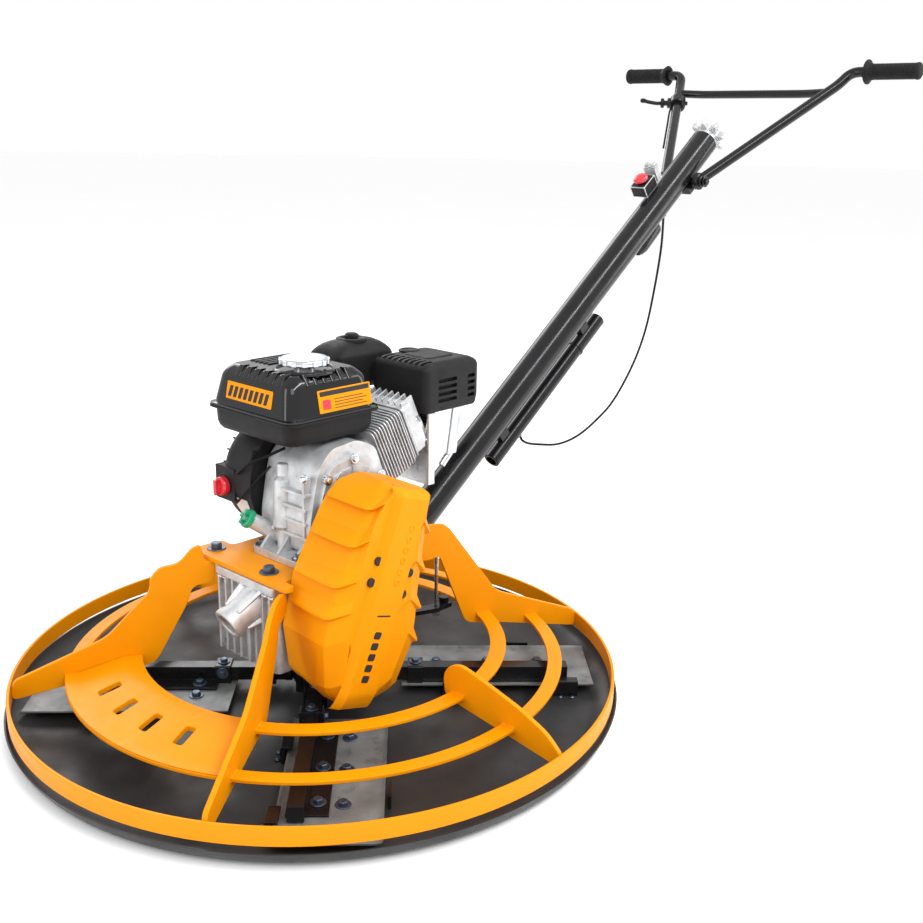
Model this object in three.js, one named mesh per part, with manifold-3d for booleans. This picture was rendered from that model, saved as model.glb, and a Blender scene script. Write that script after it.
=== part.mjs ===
// Walk-behind power trowel with a float pan, one metre class, petrol engine.
// Millimetres, +Z up. The origin is on the rotor axis at the underside of the
// float pan, and the steering handle leans away towards +X.
import * as THREE from 'three';
import { mergeVertices } from 'three/addons/utils/BufferGeometryUtils.js';
import Module from 'manifold-3d';

const wasm = await Module();
wasm.setup();

// ---- driving dimensions ----
const GAP = 0.3;

const guard = { radius: 500, thickness: 5, bottom: 34, top: 63 };
const middleRing = { outer: 412, inner: 388, bottom: 68, top: 74 };
const innerRing = { outer: 317, inner: 290, bottom: 88, top: 94 };
const ringGap = 1.2; // the rings are many-sided, so their inner edge dips inside its circle
const legThickness = 8;
const frontLegAzimuth = 148;
const rearLegAzimuth = 24;
const strutAzimuth = 85.6;

const framePlate = { bottom: 249, top: 257, front: -152, rear: 140, right: -76, left: 110 };

const pan = { radius: 506, height: 26, sheet: 3 };
const blade = { inner: 140, outer: 470, trailing: -30, leading: 120, bottom: 14, sheet: 3 };
const arm = { axis: 32, side: 24, end: 425, journal: 11 };
const firstArmAzimuth = 45;
const hub = { radius: 46, bottom: 16, top: 62 };
const outputShaft = { radius: 14, bottom: 40, top: 178 };

const gearbox = {
  front: -155, rear: 76, half: 72, bottom: 92, top: framePlate.bottom - GAP, wall: 12,
};
const socket = { rootX: -138, rootZ: 224, mouthX: -195, mouthZ: 187, y: -16, outer: 27, bore: 18 };
const inputAxis = { x: -52, z: 140 };
const wormRadius = 13;
const crank = { x: 16, z: 363 };
const fanRadius = 98;
const clutchHubRadius = 15;
const pulley = { near: -116, far: -140, drivenRadius: 54, clutchRadius: 31, groove: 9 };
const cover = { back: -80, knee: -188, face: -210, wall: 3 };

const engineBase = framePlate.top + GAP;
const cylinderLean = 25;
const tank = {
  seam: 490, front: -96, rear: 98, right: -53, left: 165, top: 558, bottom: 449, floor: 468,
};
const fillerNeck = { x: -10, y: 14, radius: 22, bore: 19 };
const muffler = {
  front: 190, rear: 327, right: -60, left: 75, bottom: 461, top: 547, axisX: 258, axisZ: 503,
};
const airCleaner = { front: 130, rear: 262, right: 88, left: 176, bottom: 485, top: 567 };

const handle = { baseX: 196, baseZ: 220, angle: 36.8, length: 1157, radius: 29 };
const bar = {
  pivotX: 1041, pivotZ: 832, pivotY: 42, bendX: 1332, bendY: 203, bendZ: 1041, gripX: 1354, gripZ: 1066,
};
const grip = { start: 252, end: 366, radius: 17 };
const barRadius = 11;

// ---- materials ----
const looks = {
  orange: { color: 0xf79a0c, roughness: 0.42, metalness: 0.0 },
  orangePlastic: { color: 0xf79a0c, roughness: 0.5, metalness: 0.0 },
  blackPaint: { color: 0x17181a, roughness: 0.38, metalness: 0.1 },
  blackPlastic: { color: 0x1d1d1f, roughness: 0.6, metalness: 0.0 },
  glossBlack: { color: 0x0b0b0c, roughness: 0.12, metalness: 0.0 },
  panSteel: { color: 0x26282b, roughness: 0.4, metalness: 0.6 },
  bladeSteel: { color: 0x73777b, roughness: 0.35, metalness: 0.9 },
  castAluminium: { color: 0xb9bcbd, roughness: 0.5, metalness: 0.8 },
  brightSteel: { color: 0xc9cccf, roughness: 0.25, metalness: 1.0 },
  boltSteel: { color: 0x3c4a5c, roughness: 0.4, metalness: 0.9 },
  bronze: { color: 0xa9793b, roughness: 0.4, metalness: 0.9 },
  rubber: { color: 0x141414, roughness: 0.8, metalness: 0.0 },
  red: { color: 0xd22a35, roughness: 0.35, metalness: 0.0 },
  green: { color: 0x1f9c6a, roughness: 0.4, metalness: 0.0 },
};

// ---- solids from three.js geometry ----
const turn = THREE.MathUtils.degToRad;
const point = (x, y, z) => new THREE.Vector3(x, y, z);
const moved = (x, y, z) => new THREE.Matrix4().makeTranslation(x, y, z);
const spun = (axis, degrees) => new THREE.Matrix4().makeRotationAxis(axis, turn(degrees));
const X_AXIS = point(1, 0, 0);
const Y_AXIS = point(0, 1, 0);
const Z_AXIS = point(0, 0, 1);

// Closed triangle mesh to manifold solid: position only, shared corners, no slivers.
function solid(geometry, ...matrices) {
  const plain = geometry.clone();
  for (const name of Object.keys(plain.attributes)) {
    if (name !== 'position') plain.deleteAttribute(name);
  }
  const merged = mergeVertices(plain, 1e-4);
  for (const matrix of matrices) merged.applyMatrix4(matrix);
  const corners = merged.index.array;
  const kept = [];
  for (let i = 0; i < corners.length; i += 3) {
    const [a, b, c] = [corners[i], corners[i + 1], corners[i + 2]];
    if (a !== b && b !== c && c !== a) kept.push(a, b, c);
  }
  return new wasm.Manifold(new wasm.Mesh({
    numProp: 3,
    vertProperties: new Float32Array(merged.attributes.position.array),
    triVerts: new Uint32Array(kept),
  }));
}

const joined = (first, ...others) => others.reduce((sum, piece) => sum.add(piece), first);
const cut = (first, ...others) => others.reduce((rest, piece) => rest.subtract(piece), first);

// Box between two opposite corners.
function box(x0, x1, y0, y1, z0, z1, ...matrices) {
  const shape = new THREE.BoxGeometry(x1 - x0, y1 - y0, z1 - z0);
  shape.translate((x0 + x1) / 2, (y0 + y1) / 2, (z0 + z1) / 2);
  return solid(shape, ...matrices);
}

// Round bar, or cone, from one point to another.
function rod(from, to, radius, sides = 16, endRadius = radius) {
  const along = to.clone().sub(from);
  const shape = new THREE.CylinderGeometry(endRadius, radius, along.length(), sides);
  const aim = new THREE.Quaternion().setFromUnitVectors(Y_AXIS, along.clone().normalize());
  shape.applyQuaternion(aim);
  shape.translate(...from.clone().addScaledVector(along, 0.5).toArray());
  return solid(shape);
}

// Closed [radius, height] outline turned round the Z axis.
function turned(outline, sides, ...matrices) {
  const points = outline.map(([radius, height]) => new THREE.Vector2(radius, height));
  const onAxis = outline[0][0] === 0 && outline[outline.length - 1][0] === 0;
  if (!onAxis) points.push(points[0].clone());
  if (THREE.ShapeUtils.area(points) < 0) points.reverse();
  const shape = new THREE.LatheGeometry(points, sides);
  shape.rotateX(Math.PI / 2);
  return solid(shape, ...matrices);
}

// Flat [x, z] outline, thick in Y about the middle plane.
function upright(outline, thickness, ...matrices) {
  const shape = new THREE.Shape(outline.map(([x, z]) => new THREE.Vector2(x, z)));
  const slab = new THREE.ExtrudeGeometry(shape, { depth: thickness, bevelEnabled: false });
  slab.rotateX(Math.PI / 2);
  slab.translate(0, thickness / 2, 0);
  return solid(slab, ...matrices);
}

// Flat [x, y] outline, from one height to another.
function flat(outline, bottom, top, ...matrices) {
  const shape = new THREE.Shape(outline.map(([x, y]) => new THREE.Vector2(x, y)));
  const slab = new THREE.ExtrudeGeometry(shape, { depth: top - bottom, bevelEnabled: false });
  slab.translate(0, 0, bottom);
  return solid(slab, ...matrices);
}

// Skin between rings of points that all have the same count, closed at both ends.
function loft(rings) {
  const count = rings[0].length;
  const positions = rings.flatMap((ring) => ring.flatMap((corner) => corner.toArray()));
  const faces = [];
  for (let r = 0; r < rings.length - 1; r += 1) {
    for (let i = 0; i < count; i += 1) {
      const j = (i + 1) % count;
      const [a, b, c, d] = [r * count + i, r * count + j, (r + 1) * count + i, (r + 1) * count + j];
      faces.push(a, b, d, a, d, c);
    }
  }
  const cap = (ring, base, flip) => {
    const normal = ring[1].clone().sub(ring[0]).cross(ring[2].clone().sub(ring[1])).normalize();
    const side = ring[1].clone().sub(ring[0]).normalize();
    const up = normal.clone().cross(side);
    const outline = ring.map((corner) => new THREE.Vector2(corner.dot(side), corner.dot(up)));
    for (const [a, b, c] of THREE.ShapeUtils.triangulateShape(outline, [])) {
      const area = outline[b].clone().sub(outline[a]).cross(outline[c].clone().sub(outline[a]));
      const loose = THREE.ShapeUtils.area(outline) * area < 0;
      faces.push(...(flip !== loose ? [base + c, base + b, base + a] : [base + a, base + b, base + c]));
    }
  };
  cap(rings[0], 0, true);
  cap(rings[rings.length - 1], (rings.length - 1) * count, false);
  const shape = new THREE.BufferGeometry();
  shape.setAttribute('position', new THREE.Float32BufferAttribute(positions, 3));
  shape.setIndex(faces);
  const volume = (g) => {
    const p = g.attributes.position;
    const corner = (i) => point(p.getX(i), p.getY(i), p.getZ(i));
    let sum = 0;
    for (let i = 0; i < faces.length; i += 3) {
      sum += corner(faces[i]).dot(corner(faces[i + 1]).cross(corner(faces[i + 2])));
    }
    return sum;
  };
  if (volume(shape) < 0) {
    for (let i = 0; i < faces.length; i += 3) [faces[i], faces[i + 1]] = [faces[i + 1], faces[i]];
    shape.setIndex(faces);
  }
  return solid(shape);
}

// Round tube along straight runs joined by rounded corners.
function bentBar(corners, radius, bend, sides = 8, steps = 24) {
  const path = new THREE.CurvePath();
  let start = corners[0];
  for (let i = 1; i < corners.length - 1; i += 1) {
    const before = corners[i].clone().sub(corners[i - 1]).normalize();
    const after = corners[i + 1].clone().sub(corners[i]).normalize();
    const enter = corners[i].clone().addScaledVector(before, -bend);
    const leave = corners[i].clone().addScaledVector(after, bend);
    path.add(new THREE.LineCurve3(start, enter));
    path.add(new THREE.QuadraticBezierCurve3(enter, corners[i], leave));
    start = leave;
  }
  path.add(new THREE.LineCurve3(start, corners[corners.length - 1]));
  return alongPath(path, radius, sides, steps);
}

function alongPath(path, radius, sides, steps) {
  const section = new THREE.Shape();
  for (let i = 0; i < sides; i += 1) {
    const angle = ((i + 0.5) / sides) * 2 * Math.PI;
    const corner = [radius * Math.cos(angle), radius * Math.sin(angle)];
    if (i === 0) section.moveTo(...corner);
    else section.lineTo(...corner);
  }
  return solid(new THREE.ExtrudeGeometry(section, { steps, bevelEnabled: false, extrudePath: path }));
}

// Hexagonal bolt head standing on a surface, with its washer.
const boltHead = (x, y, z, size = 9, height = 8) => joined(
  rod(point(x, y, z), point(x, y, z + 2), size * 1.35, 16),
  rod(point(x, y, z + 2), point(x, y, z + height), size, 6),
);

const machine = new THREE.Group();

// Adds a solid as a named mesh with a material of its own.
function add(name, shape, look, parent = machine) {
  const { vertProperties, triVerts } = shape.getMesh();
  const geometry = new THREE.BufferGeometry();
  geometry.setAttribute('position', new THREE.BufferAttribute(vertProperties, 3));
  geometry.setIndex(new THREE.BufferAttribute(triVerts, 1));
  geometry.computeVertexNormals();
  const mesh = new THREE.Mesh(geometry, new THREE.MeshStandardMaterial(looks[look]));
  mesh.name = name;
  parent.add(mesh);
  return mesh;
}

// ---- guard frame ----
const flatRing = ({ outer, inner, bottom, top }, sides) => turned(
  [[inner, bottom], [outer, bottom], [outer, top], [inner, top]], sides,
);

function buildRings() {
  const band = { outer: guard.radius, inner: guard.radius - guard.thickness, ...guard };
  add('guard_band', flatRing(band, 64), 'orange');
  add('middle_ring', flatRing(middleRing, 56), 'orange');
  add('inner_ring', flatRing(innerRing, 48), 'orange');
}

// Windows through an upright plate where the two flat rings pass.
function withRingWindows(plate) {
  const window = ({ outer, inner, bottom, top }) => box(
    inner - ringGap, outer + GAP, -legThickness, legThickness, bottom - GAP, top + GAP,
  );
  return cut(plate, window(middleRing), window(innerRing));
}

function buildLegs() {
  const reach = guard.radius - guard.thickness - 0.6;
  const under = framePlate.bottom - GAP;
  const foot = [[488, 71], [reach, 60], [reach, 37], [410, 54], [330, 70], [270, 78]];
  const frontFoot = [[345, 130], ...foot, [214, 180], [206, 208]];
  const frontLeft = [[169, 212], [169, under], [184, under], [191, 278], [205, 272], [226, 247],
    [256, 244], [272, 226], [273, 204], ...frontFoot];
  const frontRight = [[169, 212], [169, under], [206, under], [226, 240], [242, 226], [257, 204],
    ...frontFoot];
  const rear = [[120, 208], [120, under], [156, under], [172, 274], [224, 271], [236, 262],
    [330, 131], ...foot, [217, 214], [200, 208]];
  const place = (name, outline, azimuth) => {
    const leg = add(name, withRingWindows(upright(outline, legThickness)), 'orange');
    leg.rotation.z = turn(azimuth);
  };
  place('leg_front_left', frontLeft, frontLegAzimuth);
  place('leg_front_right', frontRight, -frontLegAzimuth);
  place('leg_rear_left', rear, rearLegAzimuth);
  place('leg_rear_right', rear, -rearLegAzimuth);

  const strut = [[278, 84], [274, 116], [283, 133], [304, 142], [333, 135], [417, 108],
    [468, 84], [reach, 58], [reach, 38], [404, 56], [300, 76]];
  place('strut_left', strut, strutAzimuth);
  place('strut_right', strut, -strutAzimuth);
}

// Sloping sector between the two front legs, joining the inner ring to the middle ring.
function buildFrontPanel() {
  const clearAngle = 0.85;
  const first = frontLegAzimuth + clearAngle;
  const last = 360 - frontLegAzimuth - clearAngle;
  const steps = 12;
  const [near, far] = [innerRing.outer + ringGap, middleRing.inner - ringGap];
  const rings = [];
  for (let i = 0; i <= steps; i += 1) {
    const angle = turn(first + ((last - first) * i) / steps);
    const at = (radius, height) => point(radius * Math.cos(angle), radius * Math.sin(angle), height);
    rings.push([at(near, innerRing.bottom), at(far, middleRing.bottom),
      at(far, middleRing.top), at(near, innerRing.top)]);
  }
  let panel = loft(rings);
  const slots = 4;
  for (let i = 0; i < slots; i += 1) {
    const azimuth = 180 + (i - (slots - 1) / 2) * 11;
    panel = panel.subtract(box(335, 370, -9, 9, 50, 110, spun(Z_AXIS, azimuth)));
  }
  add('front_panel', panel, 'orange');
}

function buildFramePlate() {
  const { front, rear, right, left, bottom, top } = framePlate;
  const earReach = 28;
  const barWidth = 60;
  const plate = flat([
    [front, right - earReach], [front + 20, right - earReach], [front + 20, right], [rear, right],
    [rear, left], [front + barWidth, left], [front + barWidth, left + 32], [front, left + 32],
  ], bottom, top);
  add('frame_plate', plate, 'orange');
  add('frame_bolt_left', boltHead(-122, 113, top + GAP, 10, 11), 'boltSteel');
  add('frame_bolt_right', boltHead(-126, -31, top + GAP, 10, 11), 'boltSteel');
}

// ---- rotor ----
function buildPan() {
  const { radius, height, sheet } = pan;
  let shape = turned([
    [0, 0], [468, 0], [490, 5], [radius - 3, 18], [radius, height],
    [radius - sheet, height], [radius - 6, 19], [488, 8.5], [468, sheet], [0, sheet],
  ], 56);
  for (let i = 0; i < 4; i += 1) {
    const spin = spun(Z_AXIS, firstArmAzimuth + 90 * i);
    const hookSide = blade.trailing - 6;
    const stopSide = blade.leading + 5;
    for (const reach of [210, 400]) {
      shape = joined(
        shape,
        box(reach, reach + 40, hookSide - 4, hookSide, 2, 30, spin),
        box(reach, reach + 40, hookSide - 4, hookSide + 14, 26, 30, spin),
      );
    }
    shape = shape.add(box(330, 370, stopSide, stopSide + 4, 2, 24, spin));
  }
  add('float_pan', shape, 'panSteel');
}

function buildBlade() {
  const { inner, outer, trailing, leading, bottom, sheet } = blade;
  const lip = 9;
  const rise = 4;
  const section = [
    [trailing, bottom + rise], [trailing + lip, bottom], [leading - lip, bottom], [leading, bottom + rise],
    [leading, bottom + rise + sheet], [leading - lip, bottom + sheet],
    [trailing + lip, bottom + sheet], [trailing, bottom + rise + sheet],
  ];
  const ring = (x) => section.map(([y, z]) => point(x, y, z));
  let shape = loft([ring(inner), ring(outer)]);
  for (const reach of [250, 340, 400]) {
    shape = shape.add(boltHead(reach, 62, bottom + sheet - 0.5, 8, 9));
  }
  return shape;
}

// Square bar with a journal in the hub, a foot on the blade and a finger for the pitch plate.
function buildArm() {
  const { axis, side, end, journal } = arm;
  const half = side / 2;
  const bladeTop = blade.bottom + blade.sheet + GAP;
  return joined(
    box(hub.radius + 3, end, -half, half, axis - half, axis + half),
    rod(point(24, 0, axis), point(hub.radius + 10, 0, axis), journal, 14),
    box(170, end - 15, -half - 4, 44, bladeTop, axis - half + 1),
    box(53, 64, -35, -half + 1, axis - 8, axis + 4),
    box(53, 64, -35, -26, axis - 8, 72),
  );
}

function buildRotor() {
  let centre = turned([
    [0, hub.bottom], [hub.radius - 8, hub.bottom], [hub.radius, hub.bottom + 5],
    [hub.radius, hub.top - 14], [28, hub.top], [0, hub.top],
  ], 24);
  centre = centre.subtract(rod(point(0, 0, outputShaft.bottom - GAP), point(0, 0, hub.top + 5),
    outputShaft.radius + GAP, 20));
  for (let i = 0; i < 4; i += 1) {
    const azimuth = firstArmAzimuth + 90 * i;
    const way = point(1, 0, 0).applyAxisAngle(Z_AXIS, turn(azimuth));
    const lift = point(0, 0, arm.axis);
    centre = centre.subtract(rod(
      way.clone().multiplyScalar(23).add(lift), way.clone().multiplyScalar(hub.radius + 5).add(lift),
      arm.journal + 0.4, 14,
    ));
    const station = new THREE.Group();
    station.rotation.z = turn(azimuth);
    machine.add(station);
    add(`arm_${i + 1}`, buildArm(), 'blackPaint', station);
    add(`blade_${i + 1}`, buildBlade(), 'bladeSteel', station);
  }
  add('spider_hub', centre, 'blackPaint');

  const wheelRadius = Math.abs(inputAxis.x) - wormRadius - 0.6;
  const wheelHalf = 9;
  const shaft = joined(
    rod(point(0, 0, outputShaft.bottom), point(0, 0, outputShaft.top), outputShaft.radius, 20),
    rod(point(0, 0, inputAxis.z - wheelHalf), point(0, 0, inputAxis.z + wheelHalf), wheelRadius, 28),
  );
  add('output_shaft', shaft, 'bronze');
}

// ---- gearbox and drive ----
function buildGearbox() {
  const { front, rear, half, bottom, top, wall } = gearbox;
  const root = point(socket.rootX, socket.y, socket.rootZ);
  const mouth = point(socket.mouthX, socket.y, socket.mouthZ);
  const bearing = (y) => point(inputAxis.x, y, inputAxis.z);
  let shape = joined(
    box(front + 10, rear, -half, half, bottom + 8, top - 12),
    box(front, rear, -half - 2, half + 2, top - 14, top),
    turned([[0, bottom], [36, bottom], [50, bottom + 16], [50, bottom + 20], [0, bottom + 20]], 20),
    rod(bearing(-half + 2), bearing(-half - 10), 26, 20),
  );
  const ribHalf = 2.5;
  for (const y of [-64, -46, 12, 30, 48, 66]) {
    shape = shape.add(box(front + 2, front + 14, y - ribHalf, y + ribHalf, bottom + 14, top - 13));
  }
  add('gearbox_housing', cut(
    shape,
    box(front + 10 + wall, rear - wall, -half + wall, half - wall, bottom + 24, 192),
    rod(root.clone().lerp(mouth, -0.02), mouth, socket.outer + GAP, 20),
    rod(point(0, 0, bottom - 5), point(0, 0, bottom + 30), outputShaft.radius + 1, 20),
    rod(bearing(0), bearing(-half - 20), 11, 16),
  ), 'castAluminium');

  const boreFloor = root.clone().lerp(mouth, 0.45);
  const pastMouth = mouth.clone().lerp(boreFloor, -0.2);
  add('gearbox_socket', cut(
    rod(root, mouth, socket.outer, 20),
    rod(boreFloor, pastMouth, socket.bore, 16),
  ), 'castAluminium');
}

// Sheave with one V groove, on an axis along Y.
function sheave(axis, radius, boreRadius) {
  const width = pulley.near - pulley.far;
  const bottom = radius - pulley.groove;
  const outline = [
    [boreRadius, 0], [radius, 0], [radius, 4.5], [bottom, 6.5], [bottom, width - 6.5],
    [radius, width - 4.5], [radius, width], [boreRadius, width],
  ];
  return turned(outline, 28, spun(X_AXIS, 90), moved(axis.x, pulley.near, axis.z));
}

function buildDrive() {
  const at = (y) => point(inputAxis.x, y, inputAxis.z);
  add('input_shaft', joined(
    rod(at(46), at(-150), 10, 16),
    rod(at(32), at(-32), wormRadius, 16),
  ), 'brightSteel');
  add('driven_pulley', sheave(inputAxis, pulley.drivenRadius, 10.3), 'castAluminium');
  add('clutch_drum', sheave(crank, pulley.clutchRadius, clutchHubRadius + 0.6), 'brightSteel');
  buildBelt();
}

// Endless V belt round the two sheaves, as the tangent loop of two circles.
function buildBelt() {
  const along = point(crank.x - inputAxis.x, 0, crank.z - inputAxis.z);
  const distance = along.length();
  const lean = Math.atan2(along.x, along.z);
  const loop = (lift) => {
    const seat = lift - pulley.groove;
    const [low, high] = [pulley.drivenRadius + seat, pulley.clutchRadius + seat];
    const tangent = Math.asin((low - high) / distance);
    const outline = [];
    const arc = (centre, radius, from, to, count) => {
      for (let i = 0; i <= count; i += 1) {
        const angle = from + ((to - from) * i) / count;
        outline.push([radius * Math.cos(angle), centre + radius * Math.sin(angle)]);
      }
    };
    arc(distance, high, tangent, Math.PI - tangent, 12);
    arc(0, low, Math.PI - tangent, 2 * Math.PI + tangent, 18);
    return outline;
  };
  const half = 5;
  const middle = (pulley.near + pulley.far) / 2;
  const place = [spun(Y_AXIS, THREE.MathUtils.radToDeg(lean)), moved(inputAxis.x, middle, inputAxis.z)];
  const belt = upright(loop(8), 2 * half, ...place).subtract(upright(loop(1), 4 * half, ...place));
  add('v_belt', belt, 'rubber');
}

// One-piece shell, open towards the machine, leaning along the belt line. Its outlines
// run from the lower end round the operator's side, over the top and down the front.
const coverBack = [[0, -74], [60, -60], [96, 8], [100, 107], [80, 210], [50, 272],
  [-4, 272], [-62, 245], [-76, 210], [-102, 107], [-98, 10], [-85, -30], [-50, -70]];
const coverKnee = [[-6, -74], [60, -52], [84, 8], [68, 107], [54, 210], [44, 270],
  [-40, 271], [-66, 250], [-84, 208], [-110, 107], [-114, 12], [-98, -34], [-62, -70]];
const coverFace = [[-12, -68], [34, -42], [50, 10], [24, 107], [24, 205], [26, 262],
  [-42, 268], [-60, 250], [-80, 205], [-92, 107], [-86, 12], [-80, -30], [-70, -64]];
const coverRib = [[-72, -60], [-10, -66], [15, 262], [-40, 266]];
const coverHoles = [[-57, 158], [-63, 125], [16, 142], [11, 108]];
// Height of each ledge on the front wall, with the wall's place at the back and at the knee.
const coverLedges = [[232, -66, -79], [176, -84, -94], [116, -100, -109], [72, -101, -112]];

function buildBeltCover() {
  const middle = { u: 0, v: 100 };
  const ring = (outline, y, inset) => outline.map(([u, v]) => {
    const [du, dv] = [u - middle.u, v - middle.v];
    const shrink = 1 - (inset * 1.25) / Math.hypot(du, dv);
    return point(middle.u + du * shrink, y, middle.v + dv * shrink);
  });
  const shell = (inset, backY, kneeY, faceY) => loft([
    ring(coverBack, backY, inset), ring(coverKnee, kneeY, inset), ring(coverFace, faceY, inset),
  ]);
  let shape = shell(0, cover.back, cover.knee, cover.face);
  shape = shape.add(upright(coverRib, 10, moved(0, cover.face - 3, 0)));
  for (const [v, backU, kneeU] of coverLedges) {
    const lip = (u, y) => [point(u - 5, y, v), point(u + 9, y, v + 26), point(u + 9, y, v)];
    shape = shape.add(loft([lip(backU, cover.back - 8), lip(kneeU, cover.knee)]));
  }
  const { wall } = cover;
  shape = shape.subtract(shell(wall, cover.back + 1, cover.knee + wall, cover.face + wall + 1));
  for (const [u, v] of coverHoles) {
    shape = shape.subtract(rod(point(u, cover.face - 20, v), point(u, cover.face + 20, v), 6.5, 12));
  }
  const mesh = add('belt_cover', shape, 'orangePlastic');
  mesh.rotation.y = Math.atan2(crank.x - inputAxis.x, crank.z - inputAxis.z);
  mesh.position.set(inputAxis.x, 0, inputAxis.z);
}

// ---- pitch mechanism ----
const pitchPivot = { x: 104, z: 84 };
const pitchPlay = 1.4;
const pitchPlate = { bottom: 72.3, top: 79.7, outer: 72, inner: 24 };

function buildPitch() {
  add('pitch_plate', flatRing(pitchPlate, 28), 'castAluminium');

  const forkBottom = pitchPlate.top + pitchPlay;
  const forkTop = forkBottom + 8;
  const fork = [[-22, 24], [100, 24], [100, -24], [-22, -24], [-22, -36], [108, -36], [108, -14],
    [150, -14], [236, -50], [276, -50], [276, -30], [240, -30], [150, 14], [108, 14], [108, 36], [-22, 36]];
  add('pitch_yoke', cut(
    joined(
      flat(fork, forkBottom, forkTop),
      rod(point(pitchPivot.x, -36, pitchPivot.z), point(pitchPivot.x, 36, pitchPivot.z), 9, 14),
      rod(point(265, -40, forkTop - 1), point(265, -40, forkTop + 12), 9, 14),
    ),
    rod(point(pitchPivot.x, -50, pitchPivot.z), point(pitchPivot.x, 50, pitchPivot.z), 5.4, 12),
    rod(point(244, -40, forkBottom - 5), point(244, -40, forkTop + 5), 4.2, 12),
  ), 'blackPaint');
  add('pitch_link', joined(
    rod(point(244, -40, forkBottom - 6), point(244, -40, 196), 3.2, 10),
    rod(point(244, -40, forkBottom - 10), point(244, -40, forkBottom - 0.9), 8, 6),
  ), 'brightSteel');
}

// ---- engine ----
const fillerTube = { root: point(-54, 46, 286), mouth: point(-90, 60, 312) }; // for the engine oil
const onCylinder = [spun(Y_AXIS, -cylinderLean), moved(crank.x, 0, crank.z)];

function buildCrankcase() {
  const [near, far] = [66, -58];
  const outline = [[-72, 2], [-80, -40], [-76, -94], [84, -94], [88, -44], [82, 8], [60, 66],
    [20, 84], [-34, 78], [-62, 48]];
  const body = upright(outline, near - far, moved(crank.x, (near + far) / 2, crank.z));
  const foot = box(crank.x - 106, crank.x + 100, far + 6, near - 6, engineBase, engineBase + 12);
  const sideCover = upright(
    [[-58, -74], [66, -74], [72, -20], [56, 44], [10, 64], [-44, 52], [-64, 0]], 10,
    moved(crank.x, far - 4, crank.z),
  );
  const at = (y) => point(crank.x, y, crank.z);
  const boss = rod(at(far), at(far - 18), 27, 20);
  const frontBoss = rod(point(crank.x - 70, 14, 262), point(crank.x - 64, 26, 408), 15, 12, 11);
  const neck = rod(fillerTube.root, fillerTube.mouth, 13, 14);
  let shape = joined(body, foot, sideCover, boss, frontBoss, neck);
  for (const z of [-64, -40, -16, 8]) {
    shape = shape.add(box(crank.x - 83, crank.x - 60, -50, 8, crank.z + z, crank.z + z + 5));
  }
  for (const [u, v] of [[-54, -66], [60, -66], [62, 20], [4, 58], [-52, 34]]) {
    const [x, z] = [crank.x + u, crank.z + v];
    shape = shape.add(rod(point(x, far, z), point(x, far - 14, z), 7, 6));
  }
  add('crankcase', shape.subtract(rod(at(near + 5), at(far - 30), 11, 16)), 'castAluminium');
}

function buildCylinder() {
  let shape = joined(
    box(84, 180, -40, 46, -40, 40, ...onCylinder),
    box(166, 188, -50, 56, -50, 50, ...onCylinder),
  );
  for (let i = 0; i < 8; i += 1) {
    const start = 92 + i * 9.5;
    shape = shape.add(box(start, start + 3, -54, 60, -54, 54, ...onCylinder));
  }
  add('cylinder', shape, 'castAluminium');
  const rim = box(188 + GAP, 204, -44, 50, -48, 12, ...onCylinder);
  const dome = box(210, 228, -50, 54, 330, 458);
  add('valve_cover', joined(rim, dome), 'brightSteel');
}

function buildCrankshaft() {
  const at = (y) => point(crank.x, y, crank.z);
  add('crankshaft', joined(
    rod(at(140), at(-150), 9.5, 16),
    rod(at(92), at(112), 82, 28),
    rod(at(pulley.near + 4), at(pulley.far - 4), clutchHubRadius, 20),
  ), 'brightSteel');
}

function buildFanHousing() {
  const [inner, outer] = [70, 168];
  const shell = turned([
    [fanRadius, 0], [fanRadius, 66], [fanRadius - 12, 86], [60, outer - inner], [30, outer - inner],
    [30, outer - inner - 3], [58, outer - inner - 3], [83, 84], [fanRadius - 3, 64], [fanRadius - 3, 0],
  ], 28, spun(X_AXIS, -90), moved(crank.x, inner, crank.z));
  const spokes = joined(
    box(-32, 32, -6, 6, 0, 4, spun(X_AXIS, -90), moved(crank.x, outer - 4, crank.z)),
    box(-6, 6, -32, 32, 0, 4, spun(X_AXIS, -90), moved(crank.x, outer - 4, crank.z)),
  );
  const ropeGuide = box(88, 118, 138, 158, 402, 424);
  const passage = rod(point(60, 148, 413), point(125, 148, 413), 4.6, 10);
  add('fan_housing', joined(shell, spokes, ropeGuide).subtract(passage), 'blackPlastic');
  add('starter_grip', joined(
    rod(point(120, 148, 413), point(-46, 148, 413), 3, 8),
    box(118 + GAP, 134, 130, 166, 406, 420),
  ), 'rubber');
}

// Four corners of a box-shaped cover at one height, drawn in by an inset.
const trayRing = ({ front, rear, right, left }, inset, z) => [
  point(front + inset, right + inset, z), point(rear - inset, right + inset, z),
  point(rear - inset, left - inset, z), point(front + inset, left - inset, z),
];

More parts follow.
